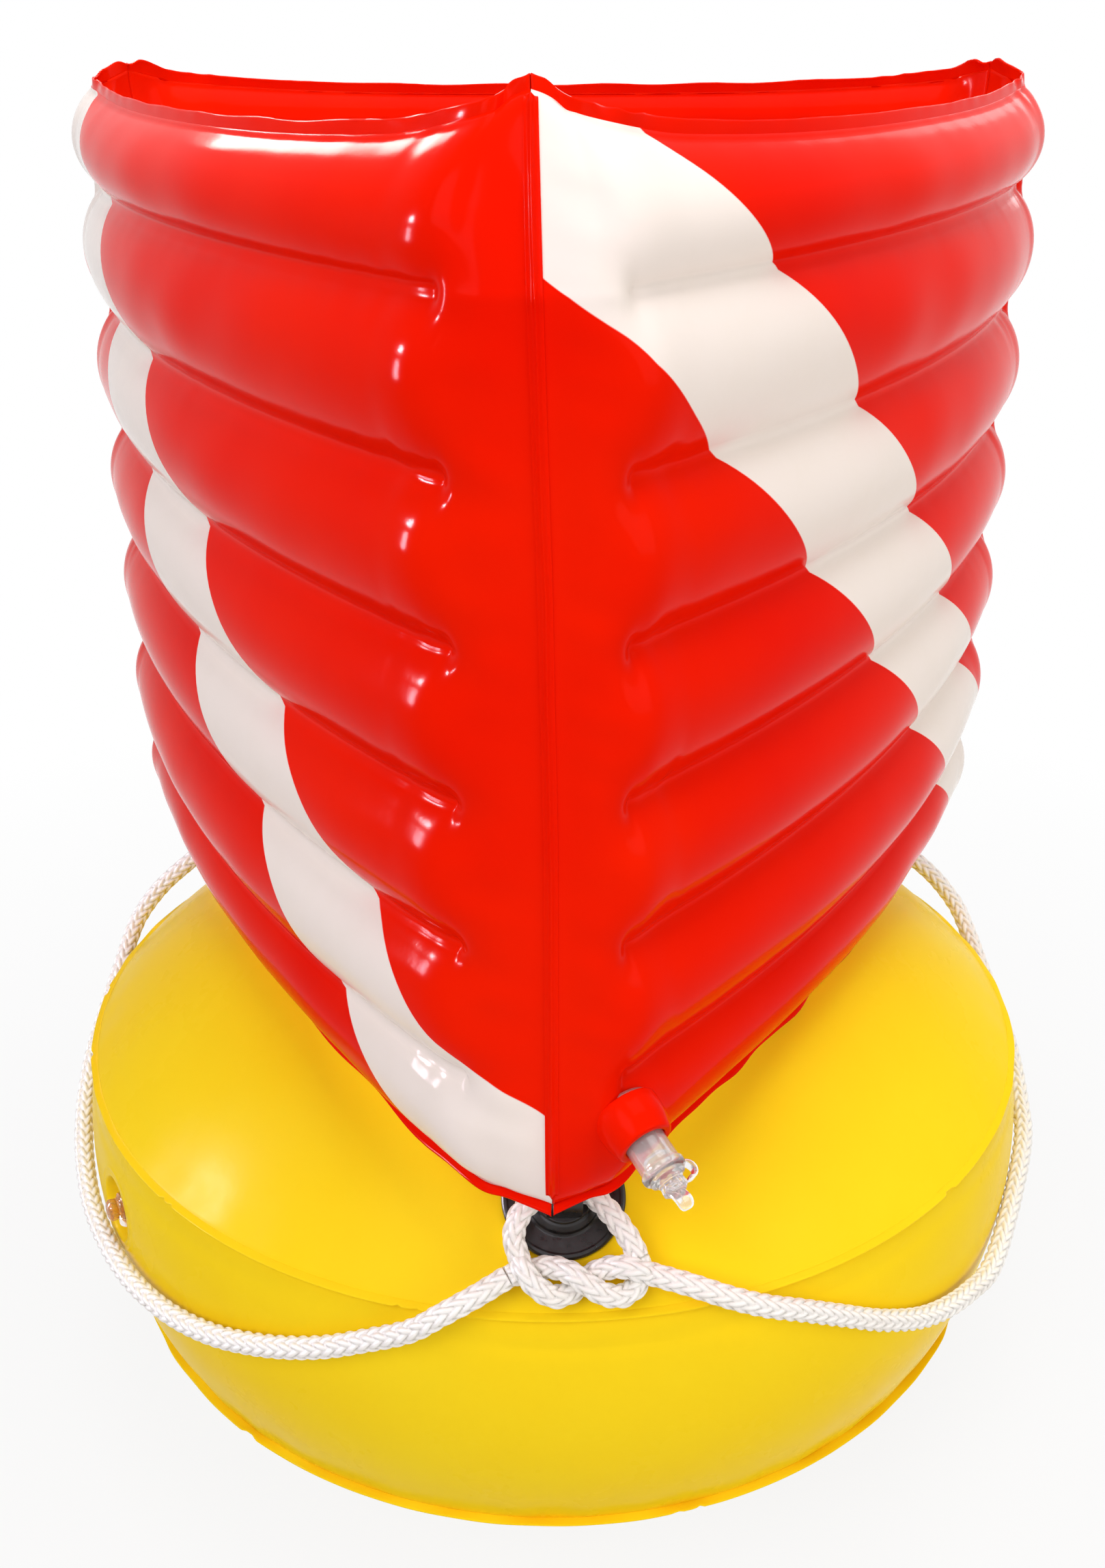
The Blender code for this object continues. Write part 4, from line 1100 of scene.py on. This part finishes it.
def makeDrum():
    # a dome, a bulged wall and a round-edged bottom as one skin, (r cos a, r sin a, z), moved along its outward
    # way by ripples * e^-(distance from a weld / reach) and swells, less a crease beside the upper weld
    look = drumFilm
    profile, ringRow, lowRow = drumProfile()
    length = lengthAlong(profile)
    along = unit(np.gradient(profile, axis=0))
    normal = np.stack([-along[:, 1], along[:, 0]], -1)
    middle, fineAngle = math.radians(valve["floatAzimuth"]), look["fineAngle"]
    coarse = np.linspace(-math.pi, math.pi, 361)
    fine = middle + np.linspace(-fineAngle, fineAngle, 48)
    angle = np.unique(np.round(np.concatenate([coarse[np.abs(coarse - middle) > fineAngle], fine]), 7))[None, :]
    angle[0, 0], angle[0, -1] = -math.pi, math.pi
    turns = angle / math.tau
    fromRing = np.abs(length - length[ringRow])[:, None]
    fromLow = np.abs(length - length[lowRow])[:, None]
    onDome = (np.arange(len(profile)) <= ringRow)[:, None]
    # whole numbers of ripples, so that the skin closes on itself
    ripple = sum(
        math.cos(seed) * np.sin(math.tau * (count * turns) + seed * 2.1)
        for seed, count in enumerate(look["rippleCounts"], 1)) / 2.2
    swellWave = sum(np.sin(math.tau * count * turns + 1.7 * count) for count in look["swellCounts"]) / 3
    offset = 0
    for distance, (depth, reach) in ((fromRing, look["ripple"]), (fromLow, look["lowRipple"])):
        offset = offset + depth * ripple * fade(distance, reach) * (1 - fade(distance, look["rippleFrom"]))
    away, wander, half = look["crease"]
    crease = bell(fromRing, away + wander * swellWave, half) * (0.55 + 0.45 * swellWave)
    offset = offset - np.where(onDome, *look["creaseDepths"]) * crease
    domeShare = np.clip(length / length[ringRow], 0, 1)[:, None]
    offset = offset + look["swell"] * swellWave * np.sin(math.pi * domeShare) * onDome
    radius = np.maximum(profile[:, :1] + normal[:, :1] * offset, 0)
    radius[0] = radius[-1] = 0
    height = profile[:, 1:] + normal[:, 1:] * offset
    height[0] = height[0].mean()
    height[lowRow + 1:] = np.maximum(height[lowRow + 1:], 0)
    grid = np.stack([radius * np.cos(angle), radius * np.sin(angle), height * np.ones_like(angle)], -1)
    # the filling valve's cup: pushed in by its depth where the distance from the axis is small
    seat = floatValveFrame()
    axis = np.array(seat.col[2][:3])
    away = grid - np.array(seat.translation)
    deep = away @ axis
    distance = np.linalg.norm(away - deep[..., None] * axis, axis=-1)
    sunk = valve["cupDepth"] * ease((valve["cupRadius"] - distance) / valve["cupSlope"])
    lift, weldRadius, weldHalf = valve["patch"]
    moved = (np.abs(deep) < valve["cupReach"]) * (lift * bell(distance, weldRadius, weldHalf) - sunk)
    grid = grid + moved[..., None] * axis
    addPiece(
        "drumSkin", [{"points": grid, "map": mapOf(turns, length[:, None]), "flip": True}], yellowFilm,
        ["float_top_panel", "float_side_wall", "float_bottom_panel", "float_valve_cup"])


rings = {
    "top": {
        "node": "float_top_weld_ring", "radius": 0.193, "height": 0.150, "width": 0.0028, "droop": 0.33,
        "wave": 0.00022, "edge": 0.00015, "counts": (23, 34, 47)},
    "low": {
        "node": "float_bottom_weld_ring", "radius": 0.183, "height": 0.043, "width": 0.0042, "droop": -0.06,
        "wave": 0.0009, "edge": 0.0006, "counts": (19, 26, 41)},
}
ringEdge = {"half": 0.00042, "sink": 0.0004, "notch": 0.0011, "notchAt": 1.15, "notchHalf": 0.12}


def makeWeldRings():
    # a thin band round the drum, as wide as its ring says, waved by sines of the angle and notched on their
    # highest crests
    angle = np.linspace(0, math.tau, 721)[None, :]
    t = np.linspace(0, math.tau, 21)[:, None]
    across = 0.5 + 0.5 * squarer(np.cos(t), 0.35)
    thick = ringEdge["half"] * squarer(np.sin(t), 0.6)
    for number, (name, ring) in enumerate(rings.items()):
        wave = sum(np.sin(count * angle + 1.3 * count + number) for count in ring["counts"]) / 2
        notch = ringEdge["notch"] * bell(wave, ringEdge["notchAt"], ringEdge["notchHalf"])
        radius = ring["radius"] - ringEdge["sink"] + (ring["width"] + ring["edge"] * wave - notch) * across
        height = ring["height"] + thick + (ring["wave"] * wave - ring["droop"] * ring["width"]) * across
        grid = np.stack([radius * np.cos(angle), radius * np.sin(angle), height], -1)
        patch = {"points": grid, "map": mapOf(angle, t)}
        addPiece("drumRing_" + name, [patch], yellowFilm, [ring["node"]])


makeDrum()
makeWeldRings()
print("drum made")


# Line holders

def makeHolders():
    # a turned base, and a lug that runs round the eye from bore to outline and back: (thick, reach * cos,
    # middle + reach * sin), where the outline is a half circle above and a straight-sided foot below
    h = holder
    theta = np.linspace(0, math.tau, 97)[None, :] - math.pi / 2
    phi = np.linspace(0, math.tau, 41)[:, None]
    inOut = 0.5 + 0.5 * squarer(np.cos(phi), h["squareness"])
    thick = 0.5 * h["lugThick"] * squarer(np.sin(phi), h["squareness"])
    across, up = np.cos(theta), np.sin(theta)
    toSide = h["lugHalf"] / np.maximum(np.abs(across), 1e-6)
    toFoot = (h["eyeRise"] + h["footSink"]) / np.maximum(-up, 1e-6)
    outline = np.where(up >= 0, h["lugHalf"], np.minimum(toSide, toFoot))
    reach = h["eyeRadius"] + (outline - h["eyeRadius"]) * inOut
    middle = h["foot"] + h["eyeRise"]
    lug = np.stack([thick * np.ones_like(theta), reach * across, middle + reach * up], -1)
    for name, azimuth in corners.items():
        seat = holderFrame(azimuth)
        base = turnedPatch(rounded(h["base"], h["baseRound"]), seat, 96)
        eye = {"points": placed(lug, seat), "map": mapOf(theta, phi)}
        addPiece("holderBase_" + name, [base], blackVinyl, ["holder_base_" + name])
        addPiece("holderEye_" + name, [eye], blackVinyl, ["holder_eye_" + name])


makeHolders()
print("holders made")


# Valves

def flagValveFrame():
    # on the slide's own axis: from the flap's middle in the frame, out by the depth at which it sits
    axis = Vector(flag["valveAxis"])
    turn = Matrix.Rotation(math.radians(faces["front_right"]), 3, "Z")
    return frameAt(Vector(flapMiddle()) + valve["flapDepth"] * axis, axis, turn @ Vector((0, 1, 0)))


def tabPatch(seat):
    # a bent rounded blade with a dished middle: half its size times cos and sin, thinner towards its rim
    wide, thin, tall, middle = valve["tab"]
    a = np.linspace(0, math.tau, 65)[None, :]
    b = np.linspace(-math.pi / 2, math.pi / 2, 21)[:, None]
    edge = squarer(np.cos(b), 0.4)
    x = 0.5 * wide * squarer(np.cos(a), 0.7) * edge
    z = 0.5 * tall * squarer(np.sin(a), 0.7) * edge
    y = 0.5 * thin * squarer(np.sin(b), 0.4) * (0.62 + 0.38 * edge)
    y = y + 0.0005 * np.sin(z * 700 + 0.5) + 0.0003 * np.sin(x * 900)
    blade = np.stack(np.broadcast_arrays(x, y, z + middle), -1)
    return {"points": placed(blade, seat), "map": mapOf(a, b)}


def strapPatches(seat):
    # a band of rounded section bent round from the stem's rim to the plug's head: middle + radius * (cos, sin)
    thick, wide, bend = valve["strap"]
    a = np.radians(np.linspace(*valve["strapTurn"], 31))[:, None]
    t = np.linspace(0, math.tau, 25)[None, :]
    radius = bend + 0.5 * thick * squarer(np.cos(t), 0.6)
    side = 0.5 * wide * squarer(np.sin(t), 0.6) * np.ones_like(a)
    outward, upward = valve["strapMiddle"]
    grid = placed(np.stack([outward + radius * np.cos(a), side, upward + radius * np.sin(a)], -1), seat)
    skin = mapOf(a, t)
    return [{"points": grid, "map": skin, "flip": True}] + endCaps(grid, grid.mean(1), skin)


def ribs(angle, height):
    # depth * cos(count * angle), on the knob's side only
    count, depth, low, high = valve["ribs"]
    return depth * np.cos(count * angle) * (height > low) * (height < high)


def makeValve(part, seat, vinyl, withTab):
    # the stem with its strap, the flap behind it and the plug in its mouth, each on its own body
    v = valve
    plug = [turnedPatch(rounded(v["plug"], v["edge"]), seat, 108, ribs)]
    if withTab:
        plug.append(tabPatch(seat))
    pieces = {
        "Stem": ("_stem", [turnedPatch(rounded(v["stem"], v["edge"], closed=True), seat, 64)]),
        "Strap": ("_stem", strapPatches(seat)),
        "Flap": ("_flap", [turnedPatch(rounded(v["flap"], v["flapEdge"]), seat, 48)]),
        "Plug": ("_plug", plug),
    }
    for kind, (body, patches) in pieces.items():
        node = part + "_valve_" + kind.lower()
        addPiece(part + "_valve" + kind, patches, vinyl, [node], body=part + body)


def makeCollar(seat):
    # a short red cone whose foot runs out into the film like a fillet
    cone = turnedPatch(rounded(valve["collar"], valve["collarEdge"], closed=True), seat, 72)
    addPiece("flagCollar", [cone], redFilm, ["flag_valve_collar"])


flagSeat = flagValveFrame()
makeCollar(flagSeat)
makeValve("flag", flagSeat @ Matrix.Translation((0, 0, -valve["stemDepth"])), clearVinyl, True)
# the float valve takes the clear vinyl tinted dark orange, painted shade of its cup
makeValve("float", floatValveFrame() @ Matrix.Translation((0, 0, -valve["floatSink"])), cupShadedVinyl, False)
print("valves made")


# Floor and light

room = {
    "white": (1, 1, 1, 1),
    "floor": (0.62, 0.62, 0.62, 1),
    "floorHalf": 6,
    "floorDrop": 0.0005,
    "whiteShare": (0.88, 1.0, 0.28, 0.70),      # of what the camera sees: near, far, and at which distances
    "worldStrength": 0.30,
}


def stageMaterial():
    # white to the camera and in reflections, a plain pale floor to the light, and darker in shadow
    material, tree, shader = newMaterial("paleFloor")
    setNode(tree, shader, Base_Color=room["floor"], Roughness=0.9, Specular_IOR_Level=0.0)
    glow = addNode(tree, "Emission", Color=room["white"], Strength=1.0)
    # the white share rises with the distance from the origin, so that no horizon shows
    where = addNode(tree, "TexCoord").outputs["Object"]
    distance = addNode(tree, "VectorMath", set_operation="LENGTH", at_0=where).outputs["Value"]
    share = spread(tree, distance, *room["whiteShare"])
    both = addNode(tree, "MixShader", at_0=share, at_1=shader.outputs[0], at_2=glow.outputs[0])
    mixed = addNode(tree, "MixShader", at_0=plainRay(tree), at_1=shader.outputs[0], at_2=both.outputs[0])
    setNode(tree, tree.nodes["Material Output"], Surface=mixed.outputs[0])
    return material


def makeStage():
    # one square under the drum
    mesh = bpy.data.meshes.new("floor")
    half, drop = room["floorHalf"], room["floorDrop"]
    spots = [(x * half, y * half, -drop) for x, y in ((-1, -1), (1, -1), (1, 1), (-1, 1))]
    mesh.from_pydata(spots, [], [(0, 1, 2, 3)])
    mesh.materials.append(stageMaterial())
    floor = bpy.data.objects.new("floor", mesh)
    bpy.context.scene.collection.objects.link(floor)


def makeWorld():
    # a dim white to the light, and plain white to the camera and in reflections
    world = bpy.data.worlds.new("room")
    world.use_nodes = True
    tree = world.node_tree
    light = setNode(tree, tree.nodes["Background"], Color=room["white"], Strength=room["worldStrength"])
    shown = addNode(tree, "Background", Color=room["white"], Strength=1.0)
    mixed = addNode(tree, "MixShader", at_0=plainRay(tree), at_1=light.outputs[0], at_2=shown.outputs[0])
    setNode(tree, tree.nodes["World Output"], Surface=mixed.outputs[0])
    bpy.context.scene.world = world


lamps = {
    "soft": {
        "place": (-0.75, -1.25, 1.35), "target": (0, -0.05, 0.30), "size": (1.0, 1.0), "power": 15.5,
        "colour": (0.96, 0.93, 1.0)},
    "upperPane": {
        "place": (-1.98, -0.25, 1.02), "target": (-0.04, -0.19, 0.43), "size": (0.20, 0.16), "power": 74,
        "colour": (0.95, 0.86, 1.0), "glossyOnly": True},
    "lowerPane": {
        "place": (-1.98, -0.25, 0.52), "target": (-0.04, -0.19, 0.43), "size": (0.18, 0.44), "power": 54,
        "colour": (0.93, 0.82, 1.0), "glossyOnly": True},
    "rimWindow": {
        "place": (-1.03, 1.60, 1.52), "target": (-0.05, -0.10, 0.50), "size": (0.50, 0.42), "power": 20,
        "colour": (1.0, 0.97, 0.91), "glossyOnly": True},
    "top": {"place": (0.15, 0.10, 1.90), "target": (0, 0, 0.3), "size": (1.3, 1.3), "power": 18},
    "fill": {
        "place": (1.5, -1.1, 0.9), "target": (0, 0, 0.25), "size": (1.2, 1.2), "power": 13.5,
        "colour": (1.0, 0.97, 0.93)},
    "back": {"place": (0.3, 1.7, 1.0), "target": (0, 0, 0.3), "size": (1.4, 1.0), "power": 7},
}


def makeLights():
    # each lamp looks from its place at its target
    for name, lamp in lamps.items():
        data = bpy.data.lights.new(name, "AREA")
        data.shape = "RECTANGLE"
        data.size, data.size_y = lamp["size"]
        data.energy = lamp["power"]
        data.color = lamp.get("colour", (1, 1, 1))
        item = bpy.data.objects.new(name, data)
        bpy.context.scene.collection.objects.link(item)
        # a window shows in the film but adds no light of its own
        item.visible_diffuse = not lamp.get("glossyOnly", False)
        turn = (Vector(lamp["target"]) - Vector(lamp["place"])).to_track_quat("-Z", "Y")
        item.matrix_world = Matrix.Translation(lamp["place"]) @ turn.to_matrix().to_4x4()


makeStage()
makeLights()
makeWorld()
bpy.context.scene.view_settings.view_transform = "Standard"
print("stage made")
